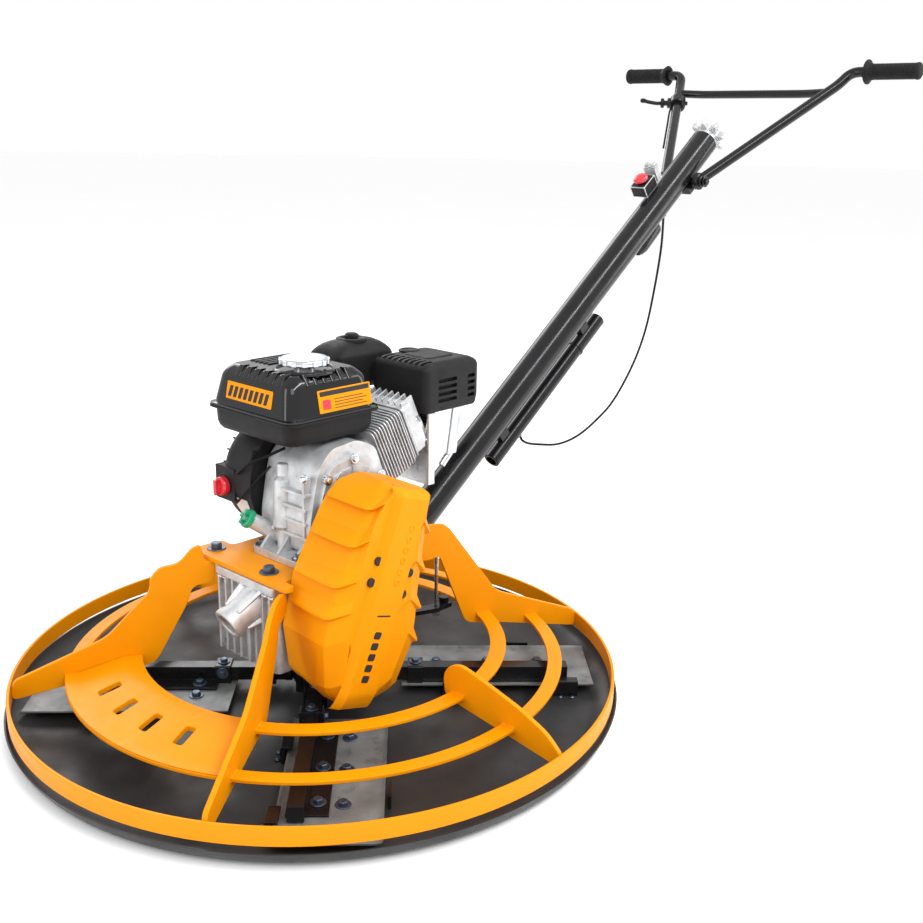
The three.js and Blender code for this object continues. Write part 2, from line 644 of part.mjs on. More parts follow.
function buildTank() {
  const { seam, front, rear, right, left, top, bottom, floor } = tank;
  const { x, y, radius, bore } = fillerNeck;
  const tray = (inset, z) => trayRing(tank, inset, z);
  const sheet = 3;
  const overFan = rod(point(crank.x, 66, crank.z), point(crank.x, left, crank.z), fanRadius + 1.5, 28);
  const overCylinder = box(80, 200, -60, 66, -60, 60, ...onCylinder);
  add('tank_lower', cut(
    joined(
      loft([tray(16, bottom), tray(10, bottom + 10), tray(7, seam)]),
      box(front, rear, right, left, seam - sheet, seam),
    ),
    loft([tray(13, floor), tray(7 + sheet, seam + 5)]),
    overFan,
    overCylinder,
  ), 'blackPlastic');

  const lid = (inset, from, to) => loft([
    tray(7 + inset, from), tray(14 + inset, to - 16), tray(30 + inset, to),
  ]);
  const column = (from, to, size) => rod(point(x, y, from), point(x, y, to), size, 20);
  add('tank_upper', cut(
    joined(
      lid(0, seam + GAP, top),
      box(front + 1, rear - 1, right + 1, left - 1, seam + GAP, seam + 4),
      column(top - 3, top + 8, radius),
    ),
    lid(sheet, seam - 5, top - sheet),
    column(top - 10, top + 12, bore),
  ), 'glossBlack');
  add('fuel_cap', turned([
    [0, top - 2], [17, top - 2], [17, top + 8.3], [39, top + 8.3],
    [41, top + 12], [38, top + 18], [0, top + 20],
  ], 24, moved(x, y, 0)), 'brightSteel');
}

function buildExhaust() {
  const { front, rear, right, left, bottom, top, axisX, axisZ } = muffler;
  const tray = (inset, z) => trayRing(muffler, inset, z);
  const outer = loft([tray(4, bottom), tray(0, bottom + 18), tray(0, top - 12), tray(12, top)]);
  const inner = loft([tray(7, bottom - 4), tray(3, bottom + 18), tray(3, top - 13), tray(14, top - 3)]);
  let guardShell = outer.subtract(inner);
  const slotRows = 4;
  const slotHeight = 6;
  for (let i = 0; i < slotRows; i += 1) {
    const z = bottom + 18 + i * 13;
    guardShell = cut(
      guardShell,
      box(front + 40, front + 84, right - 5, right + 8, z, z + slotHeight),
      box(rear - 40, rear - 18, right - 5, right + 8, z, z + slotHeight),
      box(rear - 8, rear + 5, right + 26, left - 26, z, z + slotHeight),
    );
  }
  add('muffler_guard', guardShell, 'blackPlastic');
  add('muffler', joined(
    rod(point(axisX, right + 14, axisZ), point(axisX, left - 14, axisZ), 34, 20),
    box(axisX - 24, axisX - 2, -8, 24, 440, axisZ - 12),
  ), 'castAluminium');
}

function buildIntake() {
  const { front, rear, right, left, bottom, top } = airCleaner;
  const tray = (inset, z) => trayRing(airCleaner, inset, z);
  const shell = loft([
    tray(6, bottom), tray(0, bottom + 12), tray(0, top - 22), tray(14, top - 6), tray(36, top),
  ]);
  const hollow = loft([
    tray(10, bottom - 4), tray(4, bottom + 14), tray(4, top - 24), tray(18, top - 10), tray(38, top - 4),
  ]);
  const [x, y] = [(front + rear) / 2, (right + left) / 2];
  const column = (from, to, radius) => rod(point(x, y, from), point(x, y, to), radius, 12);
  add('air_cleaner_cover', cut(shell, hollow, column(top - 20, top + 10, 5.4)), 'blackPlastic');
  add('air_cleaner_knob', joined(
    column(bottom - 15, top + 4, 5),
    column(top + GAP, top + 10, 12),
    box(x - 18, x + 18, y - 3.5, y + 3.5, top + 1, top + 12),
  ), 'blackPlastic');
  const plateTop = bottom - 16;
  add('carburettor', cut(
    joined(
      box(front + 16, rear - 16, right + 14, left - 14, plateTop - 6, plateTop),
      box(front + 20, rear - 76, 64, 128, 410, plateTop - 1),
    ),
    column(440, bottom, 5.6),
  ), 'castAluminium');
}

function buildControlsOnEngine() {
  const switchAt = point(crank.x - 98.6, 138, 352);
  add('ignition_switch', joined(
    rod(switchAt, point(switchAt.x - 12, switchAt.y, switchAt.z), 15, 18),
    box(switchAt.x - 22, switchAt.x - 11, switchAt.y - 4, switchAt.y + 4, switchAt.z - 13, switchAt.z + 13),
  ), 'red');
  const out = fillerTube.mouth.clone().sub(fillerTube.root).normalize();
  const above = (height) => fillerTube.mouth.clone().addScaledVector(out, height);
  add('dipstick', joined(
    rod(above(GAP), above(10), 15, 16),
    rod(above(9), above(16), 10, 8),
  ), 'green');
}

// ---- handle ----
const steering = new THREE.Group();
steering.position.set(handle.baseX, 0, handle.baseZ);
steering.rotation.y = -turn(handle.angle);
machine.add(steering);

function buildHandleTube() {
  const { length, radius } = handle;
  const tube = turned([
    [0, -20], [0, 30], [radius - 4, 30], [radius - 4, length], [radius, length], [radius, -20],
  ], 20, spun(Y_AXIS, 90));
  const toTube = (x, z) => {
    const [dx, dz] = [x - handle.baseX, z - handle.baseZ];
    const angle = turn(handle.angle);
    return [dx * Math.cos(angle) + dz * Math.sin(angle), -dx * Math.sin(angle) + dz * Math.cos(angle)];
  };
  const corners = (list) => list.map(([x, z]) => toTube(x, z));
  const under = framePlate.bottom - GAP;
  const saddle = upright(corners([
    [gearbox.rear + GAP, 172], [150, 150], [214, 190], [236, 226], [190, under], [gearbox.rear + GAP, under],
  ]), 78);
  const lug = (y) => upright(corners([[94, 74], [114, 74], [130, 170], [94, 190]]), 6, moved(0, y, 0));
  const [px, pz] = toTube(pitchPivot.x, pitchPivot.z);
  const pitchPin = rod(point(px, -42, pz), point(px, 42, pz), 5, 12);
  const [bx, bz] = toTube(bar.pivotX, bar.pivotZ);
  const barBlock = box(bx - 24, bx + 24, -31, 31, bz - 17, -radius + 12);
  const barPin = rod(point(bx, -54, bz), point(bx, 54, bz), 7, 14);
  const wireDepth = -radius - 8;
  const boot = turned([[0, 0], [11, 0], [17, 18], [16, 78], [0, 84]], 14, spun(Y_AXIS, 90),
    moved(832, 0, wireDepth));
  const wire = rod(point(615, 0, wireDepth), point(836, 0, wireDepth), 2.6, 8);
  const onMiddle = (x, z) => point(...toTube(x, z), 0).applyAxisAngle(X_AXIS, Math.PI / 2);
  const cableGland = rod(onMiddle(980, 790), onMiddle(980, 758), 5, 10);
  add('handle_tube', joined(
    tube, saddle, lug(40), lug(-40), pitchPin, barBlock, barPin, boot, wire, cableGland,
  ), 'blackPaint', steering);

  const drop = -radius - 35;
  const outer = 16;
  const inner = 11;
  const bracket = (start) => box(start, start + 24, -8, 8, drop + 13, -radius - GAP);
  add('lifting_tube', joined(
    turned([[inner, 250], [outer, 250], [outer, 652], [inner, 652]], 14, spun(Y_AXIS, 90), moved(0, 0, drop)),
    bracket(290),
    bracket(590),
    rod(point(337, 0, drop - 13), point(337, 0, drop - 22), 5, 10),
  ), 'blackPaint', steering);
}

function buildPitchKnob() {
  const start = handle.length + GAP;
  const lobes = 8;
  const outline = [];
  for (let i = 0; i < lobes * 4; i += 1) {
    const angle = (i / (lobes * 4)) * 2 * Math.PI;
    const radius = i % 4 === 0 ? 43 : (i % 4 === 2 ? 27 : 37);
    outline.push([radius * Math.cos(angle), radius * Math.sin(angle)]);
  }
  const star = flat(outline, start + 12, start + 30, spun(Y_AXIS, 90));
  add('pitch_knob', joined(
    star,
    rod(point(start, 0, 0), point(start + 14, 0, 0), 24, 16),
    rod(point(start - 90, 0, 0), point(start + 2, 0, 0), 8, 12),
  ), 'castAluminium', steering);
}

// Point on the left leg of the handlebar, 0 at the pivot and 1 at the bend.
const onLeftLeg = (share) => point(
  bar.pivotX + (bar.bendX - bar.pivotX) * share, bar.pivotY + (bar.bendY - bar.pivotY) * share,
  bar.pivotZ + (bar.bendZ - bar.pivotZ) * share,
);
const lever = { share: 0.8, post: 31, postRadius: 6 };
const leverCentre = onLeftLeg(lever.share);
const legWay = onLeftLeg(1).sub(onLeftLeg(0)).normalize();
const leverWay = point(-legWay.y, legWay.x, 0).normalize();
const alongLever = (distance) => leverCentre.clone().addScaledVector(leverWay, distance);

function buildHandlebar() {
  const legRight = [
    point(bar.pivotX, -bar.pivotY, bar.pivotZ), point(bar.bendX, -bar.bendY, bar.bendZ),
    point(bar.gripX, -grip.start + 36, bar.gripZ), point(bar.gripX, -grip.end + 6, bar.gripZ),
  ];
  const legLeft = legRight.map(({ x, y, z }) => point(x, -y, z));
  const bracePoints = [
    point(1306, -187, 1022), point(1318, -130, 1020), point(1318, 130, 1020), point(1306, 187, 1022),
  ];
  const acrossPivot = (from, to, radius) => rod(
    point(bar.pivotX, from, bar.pivotZ), point(bar.pivotX, to, bar.pivotZ), radius, 16,
  );
  const eye = (y) => acrossPivot(y - 6, y + 6, 18);
  const bore = acrossPivot(-60, 60, 7.4);
  const clampEnd = (side) => leverCentre.clone().addScaledVector(legWay, 13 * side);
  const clamp = rod(clampEnd(-1), clampEnd(1), 19, 14);
  const post = rod(alongLever(10), alongLever(lever.post), lever.postRadius, 12);
  add('handlebar', cut(
    joined(
      bentBar(legRight, barRadius, 24), bentBar(legLeft, barRadius, 24),
      bentBar(bracePoints, 9, 16), eye(-bar.pivotY), eye(bar.pivotY), clamp, post,
    ), bore,
  ), 'blackPaint');

  const { start, end, radius } = grip;
  for (const [name, side] of [['grip_left', 1], ['grip_right', -1]]) {
    const outline = [
      [barRadius + GAP, start], [26, start], [26, start + 5], [radius, start + 9],
      [radius - 1, end - 8], [radius + 1, end], [0, end + 4], [0, end - 5], [barRadius + GAP, end - 5],
    ].reverse();
    add(name, turned(outline, 16, spun(X_AXIS, -90 * side), moved(bar.gripX, 0, bar.gripZ)), 'rubber');
  }
}

function buildThrottle() {
  const hubStart = lever.post + GAP;
  const tip = alongLever(hubStart + 8).add(point(-46, 18, 4));
  add('throttle_lever', joined(
    rod(alongLever(hubStart), alongLever(hubStart + 8), 11, 14),
    rod(alongLever(hubStart + 4), tip, 5, 10, 3.5),
  ), 'blackPaint');
}

function buildStopSwitch() {
  const at = 960;
  const { radius } = handle;
  const deck = radius + 26;
  const button = point(at - 14, 22, deck);
  const above = (rise) => point(button.x, button.y, deck + rise);
  add('stop_switch_base', cut(
    joined(
      box(at - 34, at + 10, 4, 40, radius + 1, deck),
      box(at + 18, at + 34, 6, 34, radius + 1, deck + 8),
      box(at - 34, at + 34, 4, 26, radius + GAP, radius + 5),
    ),
    rod(above(-8), above(4), 8.8, 14),
  ), 'castAluminium', steering);
  add('stop_button', joined(
    rod(above(4), above(14), 15, 18, 13),
    rod(above(-3), above(5), 8, 14),
  ), 'red', steering);
}

// Throttle cable hanging in a loop below the handle, clipped to it at both ends.
function buildThrottleCable() {
  const route = [
    point(980, 0, 757.7), point(979, 0, 690), point(966, 2, 601), point(945, 4, 515), point(907, 6, 442),
    point(846, 8, 373), point(787, 8, 339), point(718, 6, 316), point(649, 4, 311), point(583, 2, 323),
    point(545, 0, 333), point(526.5, 0, 342.4), point(518.6, 0, 352.6),
  ];
  add('throttle_cable', alongPath(new THREE.CatmullRomCurve3(route), 2.5, 8, 60), 'rubber');
}

buildRings();
buildLegs();
buildFrontPanel();
buildFramePlate();
buildPan();
buildRotor();
buildGearbox();
buildDrive();
buildBeltCover();
buildPitch();
buildCrankcase();
buildCylinder();
buildCrankshaft();
buildFanHousing();
buildTank();
buildExhaust();
buildIntake();
buildControlsOnEngine();
buildHandleTube();
buildPitchKnob();
buildHandlebar();
buildThrottle();
buildStopSwitch();
buildThrottleCable();

export default machine;
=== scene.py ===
# Walk-behind power trowel, visual model on the CAD frame.
# Lengths are millimetres in the row frame until a piece is made, then metres.
import math

import bmesh
import bpy
from mathutils import Matrix, Vector


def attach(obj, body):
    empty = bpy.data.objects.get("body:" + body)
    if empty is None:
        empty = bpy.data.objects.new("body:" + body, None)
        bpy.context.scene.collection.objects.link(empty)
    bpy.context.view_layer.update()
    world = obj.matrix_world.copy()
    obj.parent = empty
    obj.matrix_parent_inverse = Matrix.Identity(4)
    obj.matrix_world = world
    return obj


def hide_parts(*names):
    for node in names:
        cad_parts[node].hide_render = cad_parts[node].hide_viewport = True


MM = 0.001
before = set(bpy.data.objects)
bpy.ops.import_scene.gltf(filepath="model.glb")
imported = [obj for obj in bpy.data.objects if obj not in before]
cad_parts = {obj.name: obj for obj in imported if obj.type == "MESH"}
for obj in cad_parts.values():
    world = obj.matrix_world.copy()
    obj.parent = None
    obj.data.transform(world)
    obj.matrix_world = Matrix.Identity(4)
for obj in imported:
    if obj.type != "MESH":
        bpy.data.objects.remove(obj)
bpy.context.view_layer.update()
scene = bpy.context.scene


def turn(degrees, axis):
    return Matrix.Rotation(math.radians(degrees), 4, axis)


def shift(x, y, z):
    return Matrix.Translation((x, y, z))


def along(origin, direction):
    """Local Z runs from origin along direction."""
    return shift(*origin) @ Vector(direction).to_track_quat("Z", "Y").to_matrix().to_4x4()


def on_handle(reach, drop):
    """Local Z runs along the handle tube from reach, at drop below its axis."""
    return STEERING @ shift(reach, 0, -drop) @ turn(90, "Y")


HERE = Matrix.Identity(4)
UPRIGHT = turn(90, "X")  # local XY outline stands up in XZ, local Z runs to -Y
STEERING = shift(196, 0, 220) @ turn(-36.8, "Y")  # X along the handle tube, Z square to it
TUBE_AXIS = STEERING @ turn(90, "Y")  # Z along the handle tube
CRANK_X, CRANK_Z = 16, 363
INPUT_X, INPUT_Z = -52, 140
BELT_LEAN = math.degrees(math.atan2(CRANK_X - INPUT_X, CRANK_Z - INPUT_Z))
COVER = shift(INPUT_X, 0, INPUT_Z) @ turn(BELT_LEAN, "Y")  # Z along the belt line
CRANK = shift(CRANK_X, 0, CRANK_Z)
CYLINDER = CRANK @ turn(-25, "Y")  # X along the cylinder
TOWARD_X = Matrix(((0, 0, 1, 0), (1, 0, 0, 0), (0, 1, 0, 0), (0, 0, 0, 1)))  # local Z to X, X to Y, Y to Z
FILLER = (-10, 14)  # the middle of the fuel cap, from above

# ---- camera ----
EYE = Vector((-1.13132, -1.34826, 0.92323))
RIGHT = Vector((0.67740591, -0.73534279, 0.01980446))
UP = Vector((0.19453724, 0.20504396, 0.95922481))
AHEAD = Vector((0.70941983, 0.64593185, -0.28194955))
LENS, SENSOR = 43.7, 36.0


def make_camera():
    data = bpy.data.cameras.new("camera")
    data.lens, data.sensor_width, data.sensor_height = LENS, SENSOR, SENSOR
    data.clip_start, data.clip_end = 0.05, 100
    camera = bpy.data.objects.new("camera", data)
    pose = Matrix((RIGHT, UP, -AHEAD)).transposed().to_4x4()
    camera.matrix_world = Matrix.Translation(EYE) @ pose
    scene.collection.objects.link(camera)
    scene.camera = camera


make_camera()


# ---- materials ----
def material(
    name, base, rough, metal=0.0, coat=0.0, mottle=0.12, patch=14.0, grain=900.0,
    depth=0.15, stretch=(1, 1, 1), spread=0.07, specular=0.5, marks=None,
):
    """Mottled colour, uneven gloss and a fine surface grain, all in object space."""
    made = bpy.data.materials.new(name)
    made.use_nodes = True
    tree = made.node_tree
    shader = tree.nodes["Principled BSDF"]
    shader.inputs["Metallic"].default_value = metal
    shader.inputs["Coat Weight"].default_value = coat
    shader.inputs["Coat Roughness"].default_value = 0.08
    shader.inputs["Specular IOR Level"].default_value = specular

    def node(kind, **values):
        new = tree.nodes.new(kind)
        for key, value in values.items():
            new.inputs[key].default_value = value
        return new

    place = tree.nodes.new("ShaderNodeTexCoord")
    scaled = node("ShaderNodeMapping", Scale=stretch)
    tree.links.new(place.outputs["Object"], scaled.inputs["Vector"])

    def noise(scale, detail, fine=0.55):
        new = node("ShaderNodeTexNoise", Scale=scale, Detail=detail, Roughness=fine)
        tree.links.new(scaled.outputs["Vector"], new.inputs["Vector"])
        return new.outputs["Fac"]

    def ramp(source, stops):
        new = tree.nodes.new("ShaderNodeValToRGB")
        for element, (position, shade) in zip(new.color_ramp.elements, stops):
            element.position, element.color = position, shade
        tree.links.new(source, new.inputs["Fac"])
        return new.outputs["Color"]

    low = [c * (1 - mottle) for c in base] + [1]
    high = [min(1, c * (1 + 0.6 * mottle)) for c in base] + [1]
    colour = ramp(noise(patch, 6), [(0.3, low), (0.7, high)])
    if marks:
        tint, size, limit = marks
        mask = ramp(noise(size, 8, 0.7), [(limit, (0, 0, 0, 1)), (limit + 0.12, (1, 1, 1, 1))])
        mix = tree.nodes.new("ShaderNodeMix")
        mix.data_type = "RGBA"
        tree.links.new(mask, mix.inputs["Factor"])
        tree.links.new(colour, mix.inputs["A"])
        mix.inputs["B"].default_value = [*tint, 1]
        colour = mix.outputs["Result"]
    tree.links.new(colour, shader.inputs["Base Color"])

    gloss = node(
        "ShaderNodeMapRange", **{"From Min": 0.3, "From Max": 0.7,
        "To Min": max(0.02, rough - spread), "To Max": rough + spread},
    )
    tree.links.new(noise(patch * 3.1, 5), gloss.inputs["Value"])
    tree.links.new(gloss.outputs["Result"], shader.inputs["Roughness"])

    bump = node("ShaderNodeBump", Strength=depth, Distance=0.0008)
    tree.links.new(noise(grain, 3), bump.inputs["Height"])
    tree.links.new(bump.outputs["Normal"], shader.inputs["Normal"])
    return made


ORANGE = (0.74, 0.255, 0.0)
FINISHES = {
    "orange_paint": dict(base=ORANGE, rough=0.40, mottle=0.05, grain=420, depth=0.10, specular=0.14),
    "orange_plastic": dict(base=ORANGE, rough=0.48, mottle=0.05, grain=1600, depth=0.22, specular=0.10),
    "black_paint": dict(base=(0.008, 0.008, 0.009), rough=0.2, mottle=0.2, grain=500, depth=0.08,
                        spread=0.05, specular=0.28),
    "black_plastic": dict(base=(0.011, 0.011, 0.012), rough=0.48, mottle=0.2, grain=2200, depth=0.5,
                          specular=0.16),
    "gloss_black": dict(base=(0.003, 0.003, 0.004), rough=0.1, mottle=0.2, grain=60, depth=0.03,
                        spread=0.04, specular=0.42),
    "pan_steel": dict(base=(0.024, 0.025, 0.026), rough=0.46, mottle=0.4, patch=5, grain=260, depth=0.12,
                      spread=0.12, specular=0.35),
    "blade_steel": dict(base=(0.20, 0.21, 0.21), rough=0.5, metal=0.3, mottle=0.3, patch=22, grain=700,
                        depth=0.12, stretch=(1, 1, 0.3), marks=((0.11, 0.11, 0.115), 30, 0.55)),
    "cast_aluminium": dict(base=(0.56, 0.57, 0.58), rough=0.44, metal=0.6, mottle=0.26, patch=40,
                           grain=1100, depth=0.55, marks=((0.34, 0.34, 0.35), 55, 0.60)),
    "bright_steel": dict(base=(0.58, 0.60, 0.62), rough=0.22, metal=1.0, patch=60, grain=1500, depth=0.10),
    "bolt_steel": dict(base=(0.10, 0.13, 0.18), rough=0.34, metal=0.8, mottle=0.25, patch=70, grain=1300,
                       depth=0.2),
    "bronze": dict(base=(0.40, 0.19, 0.05), rough=0.35, metal=1.0, mottle=0.2, patch=40),
    "rubber": dict(base=(0.010, 0.010, 0.011), rough=0.62, mottle=0.25, patch=50, grain=1800, depth=0.5,
                   specular=0.15),
    "red_plastic": dict(base=(0.62, 0.02, 0.035), rough=0.28, coat=0.3, patch=60, depth=0.08),
    "green_plastic": dict(base=(0.01, 0.30, 0.15), rough=0.32, coat=0.2, mottle=0.15, patch=60, depth=0.08),
    "label_white": dict(base=(0.72, 0.72, 0.70), rough=0.4, mottle=0.06, patch=90, grain=1500, depth=0.05),
    # near-black used two ways: dark print on the tank labels, and painted shade laid into the socket bore and
    # the belt cover's holes, groove and slots
    "dark_print_and_painted_shade": dict(base=(0.010, 0.010, 0.011), rough=0.7, mottle=0.3, patch=60, depth=0.3),
}
LOOKS = {name: material(name, **finish) for name, finish in FINISHES.items()}


# ---- shapes ----
def arc(enter, corner, leave, steps):
    """Quadratic curve that rounds a corner."""
    fractions = [step / steps for step in range(steps + 1)]
    return [(1 - t) ** 2 * enter + 2 * t * (1 - t) * corner + t * t * leave for t in fractions]


def rounded(outline, radius, steps=5):
    """2D outline with its corners turned into arcs, each as large as its edges allow."""
    made = []
    count = len(outline)
    for i, corner in enumerate(outline):
        here = Vector(corner)
        before = Vector(outline[i - 1]) - here
        after = Vector(outline[(i + 1) % count]) - here
        reach = min(radius, 0.45 * before.length, 0.45 * after.length)
        enter, leave = here + before.normalized() * reach, here + after.normalized() * reach
        made += [tuple(point) for point in arc(enter, here, leave, steps)]
    return made


def rounded_path(corners, radius, steps=8):
    corners = [Vector(c) for c in corners]
    path = [corners[0]]
    for before, here, after in zip(corners, corners[1:], corners[2:]):
        back, on = (before - here).normalized(), (after - here).normalized()
        path += arc(here + back * radius, here, here + on * radius, steps)
    return path + [corners[-1]]


def smooth_path(points, steps=7):
    """Catmull-Rom line through the points."""
    points = [Vector(p) for p in points]
    padded = [2 * points[0] - points[1], *points, 2 * points[-1] - points[-2]]
    path = []
    for a, b, c, d in zip(padded, padded[1:], padded[2:], padded[3:]):
        for step in range(steps):
            t = step / steps
            path.append(0.5 * (2 * b + (c - a) * t + (2 * a - 5 * b + 4 * c - d) * t * t
                               + (3 * b - a - 3 * c + d) * t ** 3))
    return path + [points[-1]]


def circle(radius, count):
    angles = [2 * math.pi * k / count for k in range(count)]
    return [(radius * math.cos(a), radius * math.sin(a)) for a in angles]


def rectangle(x0, x1, y0, y1, radius=0.0, steps=6):
    corners = [(x0, y0), (x1, y0), (x1, y1), (x0, y1)]
    return rounded(corners, radius, steps) if radius else corners


class Shape:
    """Closed shells gathered in one mesh, in millimetres."""

    def __init__(self):
        self.bm = bmesh.new()

    def face(self, corners):
        if len(set(corners)) > 2:
            try:
                self.bm.faces.new(corners)
            except ValueError:
                pass

    def rings(self, rings, joined=False, capped=True):
        """Skin through rings of points; a ring of one point is a pole."""
        made = [[self.bm.verts.new(p) for p in ring] for ring in rings]
        pairs = list(zip(made, made[1:])) + ([(made[-1], made[0])] if joined else [])
        for a, b in pairs:
            count = max(len(a), len(b))
            for i in range(count):
                j = (i + 1) % count
                if len(a) == 1:
                    self.face([a[0], b[i], b[j]])
                elif len(b) == 1:
                    self.face([a[i], a[j], b[0]])
                else:
                    self.face([a[i], a[j], b[j], b[i]])
        if capped and not joined:
            for ring in (made[0], made[-1]):
                if len(ring) > 2:
                    self.face(ring)
        return self

    def lathe(self, profile, place=HERE, segments=72):
        """[radius, height] profile round local Z, joined to itself unless it ends on the axis."""
        rings = []
        for radius, height in profile:
            if radius < 0.001:
                rings.append([place @ Vector((0, 0, height))])
                continue
            rings.append([place @ Vector((x, y, height)) for x, y in circle(radius, segments)])
        return self.rings(rings, joined=len(rings[0]) > 1, capped=False)

    def rod(self, start, end, radius, sides=32, end_radius=None, edge=0.6):
        start, end = Vector(start), Vector(end)
        far = radius if end_radius is None else end_radius
        length = (end - start).length
        profile = [(0, 0), (radius - edge, 0), (radius, edge), (far, length - edge), (far - edge, length),
                   (0, length)]
        return self.lathe(profile, along(start, end - start), sides)

    def prism(self, outline, low, high, place=HERE):
        return self.rings([[place @ Vector((x, y, z)) for x, y in outline] for z in (low, high)])

    def box(self, x0, x1, y0, y1, z0, z1, place=HERE):
        return self.prism(rectangle(x0, x1, y0, y1), z0, z1, place)

    def stack(self, layers, place=HERE):
        """Rounded rectangles at rising heights: (z, x0, x1, y0, y1, corner radius)."""
        return self.rings([
            [place @ Vector((x, y, z)) for x, y in rectangle(x0, x1, y0, y1, radius)]
            for z, x0, x1, y0, y1, radius in layers
        ])

    def tiers(self, base, layers, place=HERE):
        """One rectangle drawn in evenly at rising heights: (z, inset, corner radius)."""
        x0, x1, y0, y1 = base
        return self.stack([(z, x0 + cut, x1 - cut, y0 + cut, y1 - cut, radius)
                           for z, cut, radius in layers], place)

    def tube(self, path, radius, sides=20):
        path = [Vector(p) for p in path]
        side = None
        rings = []
        for i, here in enumerate(path):
            ahead = (path[min(i + 1, len(path) - 1)] - path[max(i - 1, 0)]).normalized()
            side = ahead.orthogonal() if side is None else side - ahead * side.dot(ahead)
            side.normalize()
            up = ahead.cross(side)
            rings.append([here + radius * (side * x + up * y) for x, y in circle(1, sides)])
        return self.rings(rings)

    def bolt(self, at, axis=(0, 0, 1), across=13.0, height=6.0, washer=True, place=HERE):
        """Hexagonal head on a washer."""
        seat = place @ along(at, axis)
        base = 0.0
        if washer:
            base = 1.8
            self.lathe([(0, 0), (across * 0.86, 0), (across * 0.92, 0.4), (across * 0.92, 1.4),
                        (across * 0.86, base), (0, base)], seat, 32)
        corner = across / math.sqrt(3)
        layers = [(corner, base), (corner, base + height * 0.8), (corner * 0.86, base + height)]
        return self.rings([[seat @ Vector((x, y, z)) for x, y in circle(r, 6)] for r, z in layers])

    def from_cad(self, *names):
        """The CAD nodes' own solids, with flat facets merged so that their edges can be softened."""
        for name in names:
            copy = bmesh.new()
            copy.from_mesh(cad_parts[name].data)
            copy.transform(Matrix.Scale(1 / MM, 4))
            bmesh.ops.remove_doubles(copy, verts=copy.verts, dist=0.01)
            bmesh.ops.dissolve_limit(copy, angle_limit=0.02, verts=copy.verts, edges=copy.edges)
            data = bpy.data.meshes.new("copy")
            copy.to_mesh(data)
            copy.free()
            self.bm.from_mesh(data)
            bpy.data.meshes.remove(data)
        return self

    def object(self, name):
        bmesh.ops.recalc_face_normals(self.bm, faces=self.bm.faces)
        self.bm.transform(Matrix.Scale(MM, 4))
        data = bpy.data.meshes.new(name)
        self.bm.to_mesh(data)
        self.bm.free()
        made = bpy.data.objects.new(name, data)
        scene.collection.objects.link(made)
        return made

    def make(self, name, look, body="machine", instead_of=(), bevel=0.8, segments=2, angle=32, cutter=None,
             wall=0.0, slot=None):
        """The finished piece, with softened edges, riding on its body."""
        made = self.object(name)
        made.data.shade_smooth()
        if cutter is not None:
            carve(made, cutter)
        if wall:
            shell = made.modifiers.new("wall", "SOLIDIFY")
            shell.thickness, shell.offset = wall * MM, -1
        if bevel:
            soft = made.modifiers.new("edges", "BEVEL")
            soft.width, soft.segments = bevel * MM, segments
            soft.limit_method, soft.angle_limit = "ANGLE", math.radians(angle)
        made.modifiers.new("shading", "WEIGHTED_NORMAL").keep_sharp = True
        made.data.materials.append(LOOKS[look])
        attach(made, body)
        if instead_of:
            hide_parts(*instead_of)
        return made


def carve(target, cutter):
    """Cuts one shape out of an object for good."""
    tool = cutter.object("cutter")
    knife = target.modifiers.new("cut", "BOOLEAN")
    knife.operation, knife.solver, knife.object = "DIFFERENCE", "EXACT", tool
    bpy.context.view_layer.update()
    result = bpy.data.meshes.new_from_object(target.evaluated_get(bpy.context.evaluated_depsgraph_get()))
    target.modifiers.remove(knife)
    old, target.data = target.data, result
    result.name = old.name
    bpy.data.meshes.remove(old)
    spare = tool.data
    bpy.data.objects.remove(tool)
    bpy.data.meshes.remove(spare)
    target.data.shade_smooth()


# ---- throttle cable ----
CABLE_RADIUS = 2.5
CABLE_ROUTE = [
    (980, 0, 757.7), (979, 0, 690), (966, 2, 601), (945, 4, 515), (907, 6, 442), (846, 8, 373), (787, 8, 339),
    (718, 6, 316), (649, 4, 311), (583, 2, 323), (545, 0, 333), (526.5, 0, 342.4), (518.6, 0, 352.6),
]


def make_cable():
    data = bpy.data.curves.new("cable", "CURVE")
    data.dimensions = "3D"
    data.bevel_depth, data.bevel_resolution, data.use_fill_caps = CABLE_RADIUS * MM, 4, True
    route = smooth_path(CABLE_ROUTE)
    spline = data.splines.new("POLY")
    spline.points.add(len(route) - 1)
    for knot, place in zip(spline.points, route):
        knot.co = (*(place * MM), 1)
    cable = bpy.data.objects.new("throttle_cable_sheath", data)
    scene.collection.objects.link(cable)
    data.materials.append(LOOKS["rubber"])
    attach(cable, "machine")
    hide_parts("throttle_cable")


make_cable()

# ---- guard ----
GUARD, MIDDLE, INNER = (500, 495, 34, 63), (412, 388, 68, 74), (317, 290, 88, 94)
FRONT_LEG, REAR_LEG, STRUT = 148, 24, 85.6
LEG_HALF = 4.0  # half the thickness of the leg plates
BEADS = 7  # in each line of weld beads
PANEL_SECTION = [(318.2, 88), (386.8, 68), (386.8, 74.2), (411, 74.2), (411, 76), (389, 76), (320, 96),
                 (291, 96), (291, 94.2), (318.2, 94.2)]


